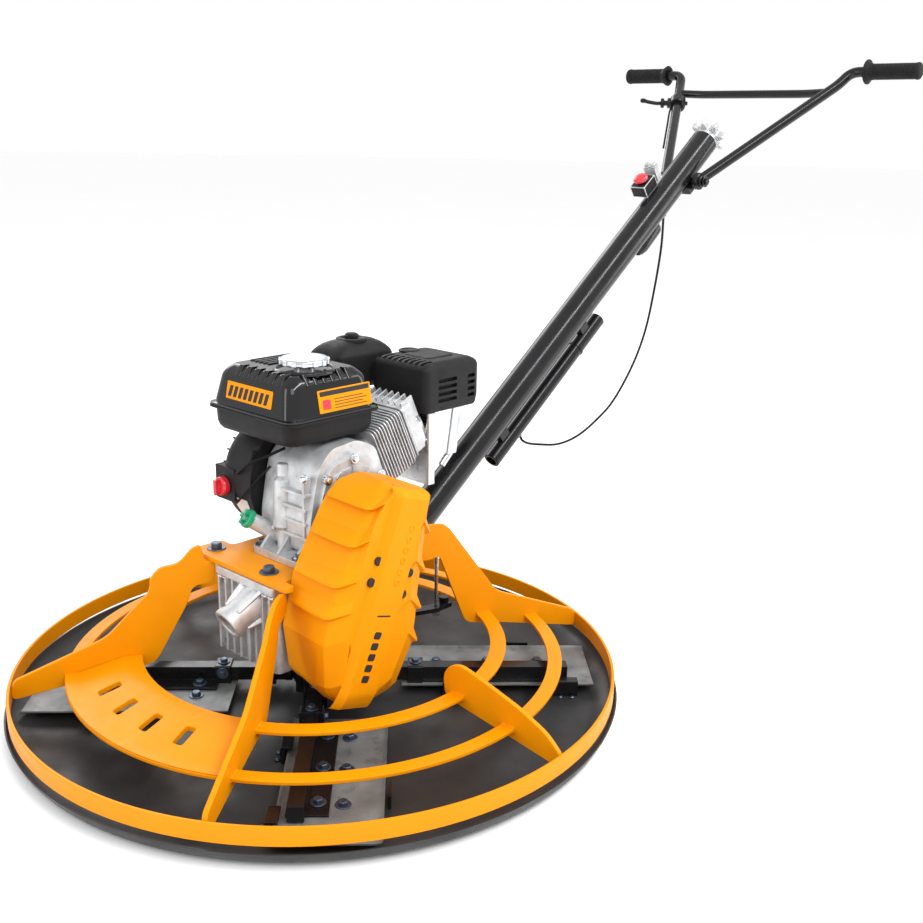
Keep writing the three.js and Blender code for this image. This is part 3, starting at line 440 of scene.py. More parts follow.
def make_guard():
    for name, (outer, inner, bottom, top) in (
        ("guard_band", GUARD), ("middle_ring", MIDDLE), ("inner_ring", INNER),
    ):
        ring = Shape().lathe([(inner, bottom), (outer, bottom), (outer, top), (inner, top)], segments=200)
        ring.make(f"{name}_strip", "orange_paint", instead_of=[name], bevel=1.2)

    foot = [(488, 71), (494.6, 60), (494.6, 37), (410, 54), (330, 70), (270, 78)]
    front = [(345, 130), *foot, (214, 180), (206, 208), (169, 212), (169, 248.7)]
    front_left = [*front, (184, 248.7), (191, 278), (205, 272), (226, 247), (256, 244), (272, 226),
                  (273, 204)]
    front_right = [*front, (206, 248.7), (226, 240), (242, 226), (257, 204)]
    rear = [(120, 208), (120, 248.7), (156, 248.7), (172, 274), (224, 271), (236, 262), (330, 131), *foot,
            (217, 214), (200, 208)]
    strut = [(278, 84), (274, 116), (283, 133), (304, 142), (333, 135), (417, 108), (468, 84), (494.6, 58),
             (494.6, 38), (404, 56), (300, 76)]
    for node, outline, azimuth in (
        ("leg_front_left", front_left, FRONT_LEG), ("leg_front_right", front_right, -FRONT_LEG),
        ("leg_rear_left", rear, REAR_LEG), ("leg_rear_right", rear, -REAR_LEG),
        ("strut_left", strut, STRUT), ("strut_right", strut, -STRUT),
    ):
        place = turn(azimuth, "Z") @ UPRIGHT
        plate = Shape().prism(rounded(outline, 16, 5), -LEG_HALF, LEG_HALF, place)
        plate.make(f"{node}_plate", "orange_paint", instead_of=[node], bevel=1.0, angle=40)

    make_welds([(azimuth, outer, inner, bottom, top)
                for azimuth in (FRONT_LEG, -FRONT_LEG, REAR_LEG, -REAR_LEG, STRUT, -STRUT)
                for outer, inner, bottom, top in (MIDDLE, INNER)])

    steps = 48
    first, last = FRONT_LEG + 0.85, 360 - FRONT_LEG - 0.85
    sections = []
    for i in range(steps + 1):
        angle = math.radians(first + (last - first) * i / steps)
        sections.append([Vector((r * math.cos(angle), r * math.sin(angle), z))
                         for r, z in PANEL_SECTION])
    slots = Shape()
    for i in range(4):
        slots.prism(rectangle(335, 370, -9, 9, 5), 50, 110, turn(180 + (i - 1.5) * 11, "Z"))
    panel = Shape().rings(sections)
    panel.make("front_panel_sheet", "orange_paint", instead_of=["front_panel"], cutter=slots)


def make_welds(crossings):
    """Short weld beads where the rings pass through the plates."""
    beads = Shape()
    for azimuth, outer, inner, bottom, top in crossings:
        place = turn(azimuth, "Z")
        for side in (-LEG_HALF, LEG_HALF):
            for z in (bottom, top):
                for k in range(BEADS):
                    x = inner + (outer - inner) * (k + 0.5) / BEADS
                    beads.lathe([(0, -1.9), (1.7, -1.1), (2.2, 0), (1.7, 1.1), (0, 1.9)],
                                place @ shift(x, side, z), 10)
    beads.make("weld_beads", "orange_paint", bevel=0)


def make_frame_plate():
    outline = [(-152, -104), (-132, -104), (-132, -76), (140, -76), (140, 110), (-92, 110), (-92, 142),
               (-152, 142)]
    sheet = Shape().prism(rounded(outline, 9), 249, 257)
    sheet.make("frame_plate_sheet", "orange_paint", instead_of=["frame_plate"], bevel=1.2)
    for node, x, y in (("frame_bolt_left", -122, 113), ("frame_bolt_right", -126, -31)):
        bolt = Shape().bolt((x, y, 257.3), across=17, height=9)
        bolt.make(f"{node}_head", "bolt_steel", instead_of=[node], bevel=0.5)
    feet = Shape()
    for x, y in ((-76, -44), (-76, 50), (92, -44), (92, 50)):
        feet.bolt((x, y, 269.3), across=13, height=7)
    feet.make("engine_foot_bolts", "bolt_steel", bevel=0.4)


# ---- rotor ----
STATIONS = [45, 135, 225, 315]


def make_rotor():
    dish = Shape().lathe([(0, 0), (468, 0), (480, 2), (490, 5), (498, 10), (503, 18), (506, 26), (503, 26),
                          (500, 19), (496, 12.5), (488, 8.5), (479, 5), (468, 3), (0, 3)], segments=220)
    dish.make("float_pan_dish", "pan_steel", "rotor", ["float_pan"], bevel=0.4)
    clips = Shape()
    rivets = Shape()
    for azimuth in STATIONS:
        place = turn(azimuth, "Z")
        for reach in (210, 400):
            step = [(-36, 3), (-22, 3), (-22, 6), (-33, 6), (-33, 26), (-22, 26), (-22, 30), (-40, 30),
                    (-40, 3)]
            clips.prism(rounded(step, 1.5, 3), reach, reach + 40, place @ TOWARD_X)
            for x in (reach + 10, reach + 30):
                rivets.lathe([(0, 3), (4.5, 3), (4, 5), (2, 6.2), (0, 6.6)], place @ shift(x, -46, 0), 20)
        clips.prism(rectangle(330, 370, 125, 129, 1), 3, 24, place)
    clips.make("pan_clips", "black_paint", "rotor", bevel=0.7)
    rivets.make("pan_rivets", "bolt_steel", "rotor", bevel=0)

    hub = Shape().lathe([(0, 16), (38, 16), (46, 21), (46, 48), (28, 62), (14.4, 62), (14.4, 40), (0, 40)],
                        segments=96)
    for x, y in circle(38, 8):
        hub.bolt(turn(22, "Z") @ Vector((x, y, 47)), across=10, height=6, washer=False)
    hub.make("spider_hub_casting", "black_paint", "rotor", ["spider_hub"], bevel=1.0)

    for k, azimuth in enumerate(STATIONS, 1):
        body = f"arm_set_{k}"
        place = turn(azimuth, "Z")
        section = [(-30, 18), (-27, 15.4), (-21, 14), (111, 14), (117, 15.4), (120, 18),
                   (120, 21), (117, 18.4), (111, 17), (-21, 17), (-27, 18.4), (-30, 21)]
        blade = Shape().rings([[place @ Vector((x, y, z)) for y, z in section] for x in (140, 142, 468, 470)])
        blade.make(f"blade_{k}_plate", "blade_steel", body, [f"blade_{k}"], bevel=0.5)

        bar = Shape().from_cad(f"arm_{k}")
        for x in (74, 150):
            bar.prism(rectangle(-19, 19, 14, 48, 4), x, x + 26, place @ TOWARD_X)
        bar.lathe([(0, 0), (15, 0), (17, 2), (17, 12), (15, 14), (0, 14)],
                  place @ shift(46, 0, 32) @ turn(90, "Y"), 40)
        bar.make(f"arm_{k}_bar", "black_paint", body, [f"arm_{k}"], bevel=1.2)

        bolts = Shape()
        for x in (200, 290, 380):
            for y in (27, 62):
                bolts.bolt((x, y, 17.0 if y == 62 else 21.0), across=13, height=6, place=place)
        for x in (87, 163):
            bolts.bolt((x, 19, 36), axis=(0, 1, 0), across=11, height=5, place=place)
            bolts.bolt((x, 0, 48), across=11, height=5, place=place)
        bolts.make(f"blade_{k}_bolts", "bolt_steel", body, bevel=0.4)


# ---- gearbox and drive ----
def make_gearbox():
    case = Shape()
    case.prism(rectangle(-145, 76, -72, 72, 12), 100, 236.7)
    case.prism(rectangle(-155, 76, -74, 74, 8), 235, 248.5)
    case.lathe([(0, 92), (36, 92), (50, 108), (50, 112), (0, 112)], segments=64)
    for y in (-64, -46, -28, -10, 12, 30, 48, 66):
        case.stack([(106, -154, -141, y - 3, y + 3, 2), (236, -154, -141, y - 2.2, y + 2.2, 2)])
    for x in (-120, -94, -6, 26, 58):
        case.stack([(106, x - 2.4, x + 2.4, -76, -68, 2), (236, x - 2.4, x + 2.4, -76, -68, 2)])
    case.lathe([(0, 0), (26, 0), (26, 10), (22, 14), (0, 14)], along((INPUT_X, -68, INPUT_Z), (0, -1, 0)), 48)
    mouth = along((-138, -21, 216), (-57, 5, -29))
    case.make("gearbox_casting", "cast_aluminium", instead_of=["gearbox_housing"], bevel=2.2, segments=3)

    socket = Shape().lathe([(0, 0), (27, 0), (27, 16), (25.5, 30), (24.5, 52), (27, 57), (27.2, 65), (26, 68),
                            (19.5, 68), (18, 66), (18, 31), (0, 31)], mouth, 72)
    for k in range(4):
        lug = mouth @ turn(45 + 90 * k, "Z")
        socket.stack([(z, 18, reach, -3.5, 3.5, 0) for reach, z in ((38, 3), (35, 20), (27, 48))], lug)
    # painted shade: a near-black sleeve and floor laid just inside the socket's bore to darken it
    bore_painted_shade = Shape().lathe([(16.5, 31.6), (17.7, 31.6), (17.7, 60), (17.4, 60), (17.2, 32.4), (0, 32.4),
                            (0, 31.6)], mouth, 48)
    bore_painted_shade.make("gearbox_socket_bore_painted_shade", "dark_print_and_painted_shade", bevel=0, slot="cast_aluminium")
    socket.make("gearbox_socket_casting", "cast_aluminium", instead_of=["gearbox_socket"], bevel=1.6,
                segments=3)
    bolts = Shape()
    for y in (-66, -50, 50, 64):
        bolts.bolt((-148, y, 235), axis=(0, 0, -1), across=10, height=5)
    for y in (-55, 57):
        for z in (120, 170, 220):
            bolts.bolt((-145, y, z), axis=(-1, 0, 0), across=8, height=4, washer=False)
    bolts.make("gearbox_bolts", "bright_steel", bevel=0.4, slot="cast_aluminium")


def make_sheaves():
    for node, body, look, x, z, radius, bore in (
        ("driven_pulley", "input", "cast_aluminium", INPUT_X, INPUT_Z, 54, 10.3),
        ("clutch_drum", "drum", "bright_steel", CRANK_X, CRANK_Z, 31, 15.6),
    ):
        floor = radius - 9
        profile = [(bore, 0), (radius, 0), (radius, 4.5), (floor, 6.5), (floor, 17.5), (radius, 19.5),
                   (radius, 24), (bore, 24)]
        wheel = Shape().lathe(profile, along((x, -116, z), (0, -1, 0)), 96)
        wheel.make(f"{node}_wheel", look, body, [node], bevel=0.6)


# Outlines of the belt cover as (height, left, right) rows, at the back, at the knee and at the face.
COVER_BACK = [(-74, 0, 0), (-66, -40, 45), (-50, -64, 72), (-20, -88, 84), (8, -98, 96), (107, -101, 100),
              (160, -88, 90), (210, -75, 80), (245, -61, 63), (258, -45, 58), (268, -20, 52), (272, -4, 48)]
COVER_KNEE = [(-74, -46, 6), (-66, -66, 36), (-50, -86, 60), (-34, -97, 68), (12, -112, 82), (60, -110, 76),
              (107, -107, 67), (208, -82, 53), (250, -64, 47), (265, -49, 43), (272, -40, 38)]
COVER_FACE = [(-74, -64, -12), (-60, -72, 8), (-42, -78, 30), (10, -85, 46), (60, -88, 36), (107, -91, 26),
              (205, -80, 25), (250, -60, 26), (266, -48, 24), (272, -42, 20)]
COVER_RIB = [(-74, -68, -10), (272, -39, 16)]
COVER_ENDS = (-74, 272)
LEFT_LIPS, RIGHT_LIPS = (230, 172, 110, 62), (200, 138, 76, 22)
LIP = 12.0


def across_at(table, height):
    """Left and right edge of an outline given as (height, left, right) rows."""
    for (z0, a0, b0), (z1, a1, b1) in zip(table, table[1:]):
        if height <= z1:
            t = max(0.0, (height - z0) / (z1 - z0))
            return a0 + (a1 - a0) * t, b0 + (b1 - b0) * t
    return table[-1][1:]


def swell(height, lips):
    """How far the wall stands out: full at each lip, fading above it, cut back below it."""
    for lip in lips:
        if lip <= height < lip + 22:
            return LIP * min(1.0, (lip + 22 - height) / 18)
    return 0.0


def cover_section(height):
    """Open line across the cover, from its left rim over the face to its right rim."""
    back_left, back_right = across_at(COVER_BACK, height)
    knee_left, knee_right = across_at(COVER_KNEE, height)
    face_left, face_right = across_at(COVER_FACE, height)
    rib_left, rib_right = across_at(COVER_RIB, height)
    low, high = COVER_ENDS
    ends = min(1.0, max(0.0, (height - low) / 30), max(0.0, (high - height) / 14))
    front = -196 - 14 * math.sqrt(ends)
    slope = min(1.0, max(0.0, (height - low) / 40), max(0.0, (high - height) / 44))
    left, right = swell(height, LEFT_LIPS) * ends, swell(height, RIGHT_LIPS) * ends
    return [
        (back_left, -80, 0), (back_left - left * 0.6, -90, 0), (knee_left - left, front + 40, 0),
        (knee_left + 1 - left, front + 22, 0), (knee_left + 6 - left, front + 15, 2 * slope),
        (face_left - left * 0.2, front, 15 * slope), (face_left + 6, front, 12 * slope),
        (rib_left - 12, front + 2, 0), (rib_left, front - 8, 0), (rib_right, front - 8, 0),
        (rib_right + 5, front, 0), (face_right + right * 0.2, front, 22 * slope),
        (knee_right - 3 + right, front + 18, 3 * slope), (knee_right + right, front + 25, 0),
        (knee_right + right, front + 40, 0), (back_right + right * 0.6, -90, 0), (back_right, -80, 0),
    ]


def make_belt_cover():
    low, high = COVER_ENDS
    heights = {low + rise for rise in (0, 2, 6, 12, 20, 30)}
    heights |= {high - drop for drop in (0, 1.5, 4, 7, 10, 14, 18)}
    for lip in LEFT_LIPS + RIGHT_LIPS:
        heights |= {lip - 0.8, lip, lip + 4, lip + 22}
    skin = Shape()
    made = []
    for height in sorted(heights):
        line = cover_section(height)
        made.append([skin.bm.verts.new(COVER @ Vector((u, y, height + lift))) for u, y, lift in line])
    for a, b in zip(made, made[1:]):
        for i in range(len(a) - 1):
            skin.face([a[i], a[i + 1], b[i + 1], b[i]])
    skin.face(made[0])
    skin.face(made[-1])
    skin.make("belt_cover_moulding", "orange_plastic", instead_of=["belt_cover"], bevel=1.2, segments=3,
              angle=24, wall=3.0)

    # painted shade: near-black discs, a strip and slots on the cover's face stand in for the shade inside its
    # holes, groove and slots
    marks = Shape()
    for u, v in ((-57, 158), (-63, 125), (16, 142), (11, 108)):
        marks.rod(COVER @ Vector((u, -208, v)), COVER @ Vector((u, -212.5, v)), 7.0, 32)
    marks.prism(rectangle(-42, -14, 74, 76.5), 217.5, 218.6, COVER @ UPRIGHT)
    for k in range(5):
        v = -28 + 17 * k
        u = -36 + 0.09 * v
        slot = rounded([(u - 8, v), (u + 6, v - 1), (u + 8, v + 10), (u - 6, v + 11)], 3, 3)
        marks.prism(slot, 218.0, 219.0, COVER @ UPRIGHT)
    marks.make("cover_holes_painted_shade", "dark_print_and_painted_shade", bevel=0.2, slot="black_plastic")
    studs = Shape()
    for k in range(6):
        v = 128 + 17 * k
        studs.lathe([(0, 0), (6.2, 0), (6.2, 0.9), (5.2, 1.4), (3.6, 1.4), (3.6, 0.5), (0, 0.5)],
                    COVER @ along((-27 + 0.09 * v, -217.6, v), (0, -1, 0)), 24)
    studs.make("cover_studs", "orange_plastic", bevel=0.2)


# ---- engine ----
def make_crankcase():
    case = Shape()
    side_on = CRANK @ UPRIGHT
    outline = [(-72, 2), (-80, -40), (-76, -94), (84, -94), (88, -44), (82, 8), (60, 66), (20, 84), (-34, 78),
               (-62, 48)]
    case.prism(rounded(outline, 12), -66, 58, side_on)
    cover = [(-58, -74), (66, -74), (72, -20), (56, 44), (10, 64), (-44, 52), (-64, 0)]
    case.prism(rounded(cover, 18), 56, 67, side_on)
    case.prism(rounded([(u * 0.78, v * 0.78) for u, v in cover], 16), 66, 71, side_on)
    case.prism(rectangle(-90, 116, -52, 60, 10), 257.3, 269.3)
    for y in (-46, -4, 38):
        case.rings([[Vector((x, y + k, z)) for x, z in ((-88, 268), (-58, 268), (-58, 300))] for k in (0, 6)])
    case.lathe([(11, 0), (27, 0), (27, 14), (23, 18), (11, 18)], CRANK @ along((0, -58, 0), (0, -1, 0)), 48)
    case.rod((-54, 14, 262), (-48, 26, 408), 15, 40, 11, 2)
    case.rod((-56, 16, 300), (-52, 22, 388), 19, 40, 15, 6)
    case.rod((-54, 46, 286), (-90, 60, 312), 14, 40, 13, 1)
    for z in (-66, -42, -18, 6):
        case.box(-67, -50, -50, 10, CRANK_Z + z, CRANK_Z + z + 5)
    case.box(-66, -50, -46, -41, 286, 398)
    for angle in range(0, 360, 45):
        case.box(27, 50, -2, 2, 66, 73, side_on @ turn(angle, "Z"))
    for x in (-30, 0, 40, 70):
        case.box(x, x + 5, -66, -58, 275, 300)
    case.make("crankcase_casting", "cast_aluminium", instead_of=["crankcase"], bevel=2.0, segments=3)
    bolts = Shape()
    for u, v in ((-54, -66), (60, -66), (66, -10), (62, 20), (4, 58), (-52, 34), (-60, -16), (4, -70)):
        bolts.lathe([(0, 0), (8, 0), (8, 6), (0, 6)], side_on @ shift(u, v, 64), 32)
        bolts.bolt((u, -70, v), axis=(0, -1, 0), across=9, height=4, place=CRANK)
    for y, z in ((-44, 282), (-44, 398), (34, 300)):
        bolts.bolt((-62, y, z), axis=(-1, 0, 0), across=9, height=5)
    bolts.make("crankcase_bolts", "bright_steel", bevel=0.4)


def make_cylinder():
    barrel = Shape()
    place = CYLINDER @ TOWARD_X
    barrel.prism(rectangle(-38, 44, -38, 38, 18), 80, 168, place)
    for i in range(13):
        start = 88 + i * 6.2
        cut = 0 if i < 11 else 3
        barrel.prism(rectangle(-54 + cut, 60 - cut, -54 + cut, 54 - cut, 10), start, start + 2.2, place)
    barrel.prism(rectangle(-48, 54, -48, 48, 10), 167, 188, place)
    for i in range(7):
        y = -42 + i * 15
        barrel.prism(rectangle(y, y + 3, 12, 54, 1), 172, 200, place)
    barrel.make("cylinder_fins", "cast_aluminium", instead_of=["cylinder"], bevel=0.6)

    head = Shape()
    head.prism(rectangle(-44, 50, -48, 12, 12), 188.3, 196, place)
    head.prism(rectangle(-40, 46, -45, 9, 14), 195, 204, place)
    head.prism(rectangle(-22, 28, -28, -8, 6), 203.5, 205.5, place)
    for u, v in ((-38, -42), (44, -42), (-38, 6), (44, 6)):
        head.bolt((196, u, v), axis=(1, 0, 0), across=9, height=5, place=CYLINDER)
    head.prism(rectangle(210, 228, -50, 54, 6), 330, 458)
    head.make("valve_cover_pressing", "bright_steel", instead_of=["valve_cover"], bevel=2.0, segments=3)


def make_fan_housing():
    place = CRANK @ along((0, 70, 0), (0, 1, 0))
    shell = Shape()
    shell.lathe([(98, 0), (98, 60), (96, 70), (90, 80), (84, 88), (76, 93), (66, 96), (60, 98), (30, 98),
                 (30, 95), (58, 95), (72, 91), (83, 84), (95, 64), (95, 0)], place, 128)
    shell.lathe([(22, 1), (96, 1), (96, 4), (22, 4)], place, 96)
    for k in range(24):
        spoke = place @ turn(15 * k, "Z")
        shell.prism(rectangle(62, 84, -1.6, 1.6), 84, 95.5, spoke)
    for k in range(4):
        arm = place @ turn(45 + 90 * k, "Z")
        shell.prism(rectangle(0, 33, -6, 6, 2), 94, 98, arm)
    shell.lathe([(0, 92), (12, 92), (14, 94), (14, 98), (12, 99), (0, 99)], place, 48)
    shell.box(88, 118, 138, 158, 402, 424)
    for k in range(3):
        lug = place @ turn(30 + 120 * k, "Z")
        shell.prism(rectangle(88, 106, -9, 9, 6), 0, 8, lug)
    shell.box(-82.3, -60, 112, 164, 326, 384)
    shell.make("fan_housing_shell", "black_plastic", instead_of=["fan_housing"], bevel=1.4)
    bolts = Shape()
    for k in range(3):
        angle = math.radians(30 + 120 * k)
        at = (100 * math.cos(angle), 78, -100 * math.sin(angle))
        bolts.bolt(at, axis=(0, 1, 0), across=9, height=4, place=CRANK)
    bolts.make("fan_housing_bolts", "bright_steel", bevel=0.4)
    label = Shape()
    rings = []
    for radius in (98.2, 98.6):
        ring = []
        for degrees, y in [(a, 84) for a in range(196, 222, 2)] + [(a, 120) for a in range(220, 194, -2)]:
            a = math.radians(degrees)
            ring.append(CRANK @ Vector((radius * math.cos(a), y, radius * math.sin(a))))
        rings.append(ring)
    label.rings(rings).make("fan_housing_label", "label_white", bevel=0, slot="black_plastic")
    pull = Shape()
    pull.rod((120, 148, 413), (-46, 148, 413), 3, 20)
    pull.stack([(z, 118.3, 134, 131 + cut, 165 - cut, 6 - cut)
                for z, cut in ((406, 1), (409, 0), (417, 0), (420, 1))])
    pull.make("starter_handle", "rubber", "starter", ["starter_grip"], bevel=1.6, segments=3)


TANK = (-96, 98, -53, 165)  # the tank at its seam, from above
LABEL_LEAN = 11.3  # slope of the tank's sides, in degrees


def make_tank():
    lower = Shape().tiers(TANK, [
        (449, 20, 16), (451, 14, 22), (456, 10, 24), (464, 8, 24), (486, 7, 24), (486.5, 0, 22), (490, 0, 22),
    ])
    notch = Shape().rod((CRANK_X, 66.5, CRANK_Z), (CRANK_X, 175, CRANK_Z), 99.5, 128)
    notch.prism(rectangle(-60, 66, -60, 60), 80, 200, CYLINDER @ TOWARD_X)
    lower.make("tank_lower_tray", "black_plastic", instead_of=["tank_lower"], bevel=1.0, cutter=notch)

    upper = Shape().tiers(TANK, [
        (490.3, 1, 21), (494, 1, 21), (494.6, 7, 22), (502, 8, 22), (532, 14, 22), (541, 16, 22),
        (547, 20, 20), (552, 25, 18), (556, 30, 14), (558, 34, 12),
    ])
    neck = shift(*FILLER, 0)
    upper.lathe([(50, 555), (50, 559), (47, 561.5), (45, 561.5), (43, 558), (43, 555)], neck, 96)
    for k in range(5):
        y = 76 + 11 * k
        upper.stack([(557, -34, 48, y, y + 5, 2), (560.5, -32, 46, y + 1, y + 4, 1.2)])
    for k in range(6):
        x = -48 + 17 * k
        upper.stack([(543, x, x + 9, -38, -15, 3), (560, x + 1, x + 8, -25, -15, 2)])
        y = -12 + 21 * k
        upper.stack([(543, -80, -56, y, y + 12, 3), (560, -68, -56, y + 1, y + 11, 2)])
    upper.make("tank_upper_shell", "gloss_black", instead_of=["tank_upper"], bevel=1.2, segments=3, angle=36)

    cap = Shape()
    cap.lathe([(0, 556), (17, 556), (17, 566.3), (37, 566.3), (38.6, 568), (39, 572), (38.4, 575),
               (36, 577.4), (28, 578), (0, 578)], neck, 120)
    for k in range(14):
        cap.prism(rectangle(36.5, 41, -4.5, 4.5, 2), 567.5, 575.5, neck @ turn(360 / 14 * k, "Z"))
    cap.make("fuel_cap_pressing", "bright_steel", "cap", ["fuel_cap"])


def make_tank_labels():
    """Plain striped labels on the two faces that look forwards."""
    def label(name, look, outlines, low, high, face, bevel=0.1):
        marks = Shape()
        for outline in outlines:
            marks.prism(outline, low, high, face)
        marks.make(name, look, bevel=bevel, slot="gloss_black")

    face = shift(-88.9, 0, 498) @ turn(LABEL_LEAN, "Y") @ turn(-90, "Z") @ UPRIGHT
    label("tank_label_left", "orange_plastic", [rectangle(-118, -2, 8, 36, 2)], 0, 0.8, face, 0.2)
    bars = [rounded([(x, 12), (x + 8, 12), (x + 12, 30), (x + 4, 30)], 1.5, 3) for x in range(-113, -9, 13)]
    label("tank_label_left_bars", "dark_print_and_painted_shade", bars, 0.5, 1.2, face)
    face = shift(0, -45.9, 498) @ turn(-LABEL_LEAN, "X") @ UPRIGHT
    label("tank_label_right", "orange_plastic", [rectangle(-30, 80, 0, 36, 2)], 0, 0.8, face, 0.2)
    bars = Shape().prism(rectangle(-26, 77, 26, 33.5, 1), 0.5, 1.2, face)
    for k in range(4):
        bars.prism(rectangle(2, 70 - 8 * (k % 2), 4.5 + 4.6 * k, 5.8 + 4.6 * k), 0.5, 1.0, face)
    bars.make("tank_label_right_bars", "dark_print_and_painted_shade", bevel=0.1, slot="gloss_black")
    label("tank_label_right_sign", "red_plastic", [rectangle(-22, -6, 5, 20, 2)], 0.5, 1.2, face)


def make_exhaust():
    around = (190, 327, -60, 75)
    guard = Shape().tiers(around, [
        (461, 4, 12), (465, 2, 13), (479, 0, 14), (533, 0, 14), (539, 2, 13), (543, 6, 12), (546, 12, 10),
        (547, 18, 8),
    ])
    slots = Shape()
    for k in range(4):
        z = 477 + 11.5 * k
        slots.box(222, 268, -66, -40, z, z + 6.5)
        slots.box(296, 314, -66, -40, z, z + 6.5)
        slots.box(314, 334, -30, 49, z, z + 6.5)
    for k in range(9):
        slots.box(196, 222, -46 + 13 * k, -39 + 13 * k, 537, 552)
    slots.tiers(around, [(455, 7, 10), (540, 7, 10)])
    guard.make("muffler_guard_shell", "black_plastic", instead_of=["muffler_guard"], bevel=1.0, cutter=slots)
    emboss = Shape()
    emboss.stack([(546, 230, 300, -28, 42, 12), (549, 234, 296, -24, 38, 10)])
    emboss.lathe([(0, 546), (18, 546), (20, 549), (16, 551), (12, 549), (0, 549)], shift(262, 52, 0), 64)
    emboss.make("muffler_guard_top", "black_plastic", bevel=1.0)
    can = Shape().from_cad("muffler")
    can.rod((258, -46, 503), (258, 61, 503), 34.4, 64, None, 5)
    can.make("muffler_can", "cast_aluminium", instead_of=["muffler"], bevel=1.0)
    stays = Shape()
    stays.tube(rounded_path([(300, -30, 470), (300, -34, 440), (286, -34, 380), (262, -30, 352)], 12), 7, 24)
    stays.stack([(372, 268, 292, -40, -34, 3), (470, 284, 308, -40, -34, 3)])
    stays.make("exhaust_stay", "bright_steel", bevel=1.0)


def make_intake():
    stud = shift(196, 132, 0)
    lid = Shape().tiers((130, 262, 88, 176), [
        (485, 6, 14), (497, 0, 16), (541, 0, 16), (547, 2, 17), (554, 7, 20), (560, 14, 20), (565, 24, 18),
        (567, 34, 12),
    ])
    lid.lathe([(28, 562), (28, 567.5), (25, 569), (19, 569), (16, 567), (16, 562)], stud, 64)
    for k in range(3):
        lid.stack([(512 + 8 * k, 128.5, 136, 104, 160, 2), (515 + 8 * k, 128.5, 136, 105, 159, 2)])
    lid.make("air_cleaner_lid", "black_plastic", instead_of=["air_cleaner_cover"], bevel=1.0)
    nut = Shape().lathe([(0, 470), (5, 470), (5, 567.3), (12, 567.3), (12, 574), (9, 577), (0, 577)],
                        stud, 48)
    nut.stack([(568.5, 180, 212, 128.5, 135.5, 3), (573, 180, 212, 128.5, 135.5, 3),
               (575, 183, 209, 130, 134, 2)])
    nut.make("air_cleaner_wing_nut", "black_plastic", "wing_nut", ["air_cleaner_knob"], bevel=0.9)
    carburettor = Shape().from_cad("carburettor")
    carburettor.rod((168, 96, 430), (168, 96, 404), 15, 48, 12, 2)
    carburettor.rod((150, 76, 440), (190, 76, 440), 12, 40, None, 1.5)
    carburettor.make("carburettor_casting", "cast_aluminium", instead_of=["carburettor"], bevel=1.4)


def make_engine_controls():
    x = CRANK_X - 98.6
    knob = Shape().lathe([(0, 0), (15, 0), (16, 2), (16, 9), (14, 12), (0, 12.5)],
                         along((x, 138, 352), (-1, 0, 0)), 64)
    knob.stack([(339, x - 22, x - 10, 134, 142, 3), (365, x - 22, x - 10, 134, 142, 3)])
    knob.make("ignition_knob", "red_plastic", "switch", ["ignition_switch"], bevel=1.2, segments=3)
    out = Vector((-36, 14, 26)).normalized()
    seat = along(Vector((-90, 60, 312)) + out * 0.3, out)
    plug = Shape().lathe([(0, 0), (15, 0), (15.5, 2), (15.5, 8), (14, 10), (0, 10)], seat, 64)
    for k in range(12):
        plug.prism(rectangle(14.4, 16, -1.6, 1.6, 0.4), 1.5, 8.5, seat @ turn(30 * k, "Z"))
    plug.prism(rectangle(-13, 13, -3.6, 3.6, 2), 8, 16, seat)
    plug.prism(rectangle(-3.6, 3.6, -13, 13, 2), 8, 16, seat)
    plug.make("dipstick_plug", "green_plastic", "oil_plug", ["dipstick"], bevel=0.9)
    leads = Shape()
    for radius, route in (
        (2.4, [(-70, 120, 372), (-84, 96, 384), (-80, 70, 404), (-62, 50, 416), (-40, 30, 430)]),
        (2.0, [(-70, 124, 340), (-86, 104, 330), (-88, 84, 346), (-74, 66, 372), (-60, 44, 400)]),
    ):
        leads.tube(smooth_path(route, 6), radius, 12)
    leads.make("ignition_leads", "rubber", bevel=0)
    shaft = Shape().from_cad("crankshaft")
    shaft.rod((CRANK_X, 92, CRANK_Z), (CRANK_X, 112, CRANK_Z), 82.3, 96, None, 2)
    shaft.rod((CRANK_X, -112.1, CRANK_Z), (CRANK_X, -144.1, CRANK_Z), 15.1, 48, None, 1)
    shaft.make("crankshaft_assembly", "bright_steel", "crank", ["crankshaft"], bevel=0.6)


# ---- pitch linkage ----
def make_pitch_linkage():
    plate = Shape().lathe([(24, 72.3), (72, 72.3), (72, 79.7), (24, 79.7)], segments=96)
    plate.make("pitch_plate_ring", "cast_aluminium", "plate", ["pitch_plate"], bevel=1.2)
    Shape().from_cad("pitch_yoke").make("pitch_yoke_fork", "black_paint", "yoke", ["pitch_yoke"], bevel=1.2)
    x, y = 244, -40
    upright = shift(x, y, 0)
    link = Shape().rod((x, y, 75.1), (x, y, 196), 3.2, 24)
    for z in range(150, 194, 3):
        link.lathe([(3.1, z), (3.7, z + 1.2), (3.1, z + 2.4)], upright, 20)
    link.prism(circle(8, 6), 71.1, 80.2, upright)
    link.make("pitch_link_rod", "bright_steel", "link", ["pitch_link"], bevel=0.6)


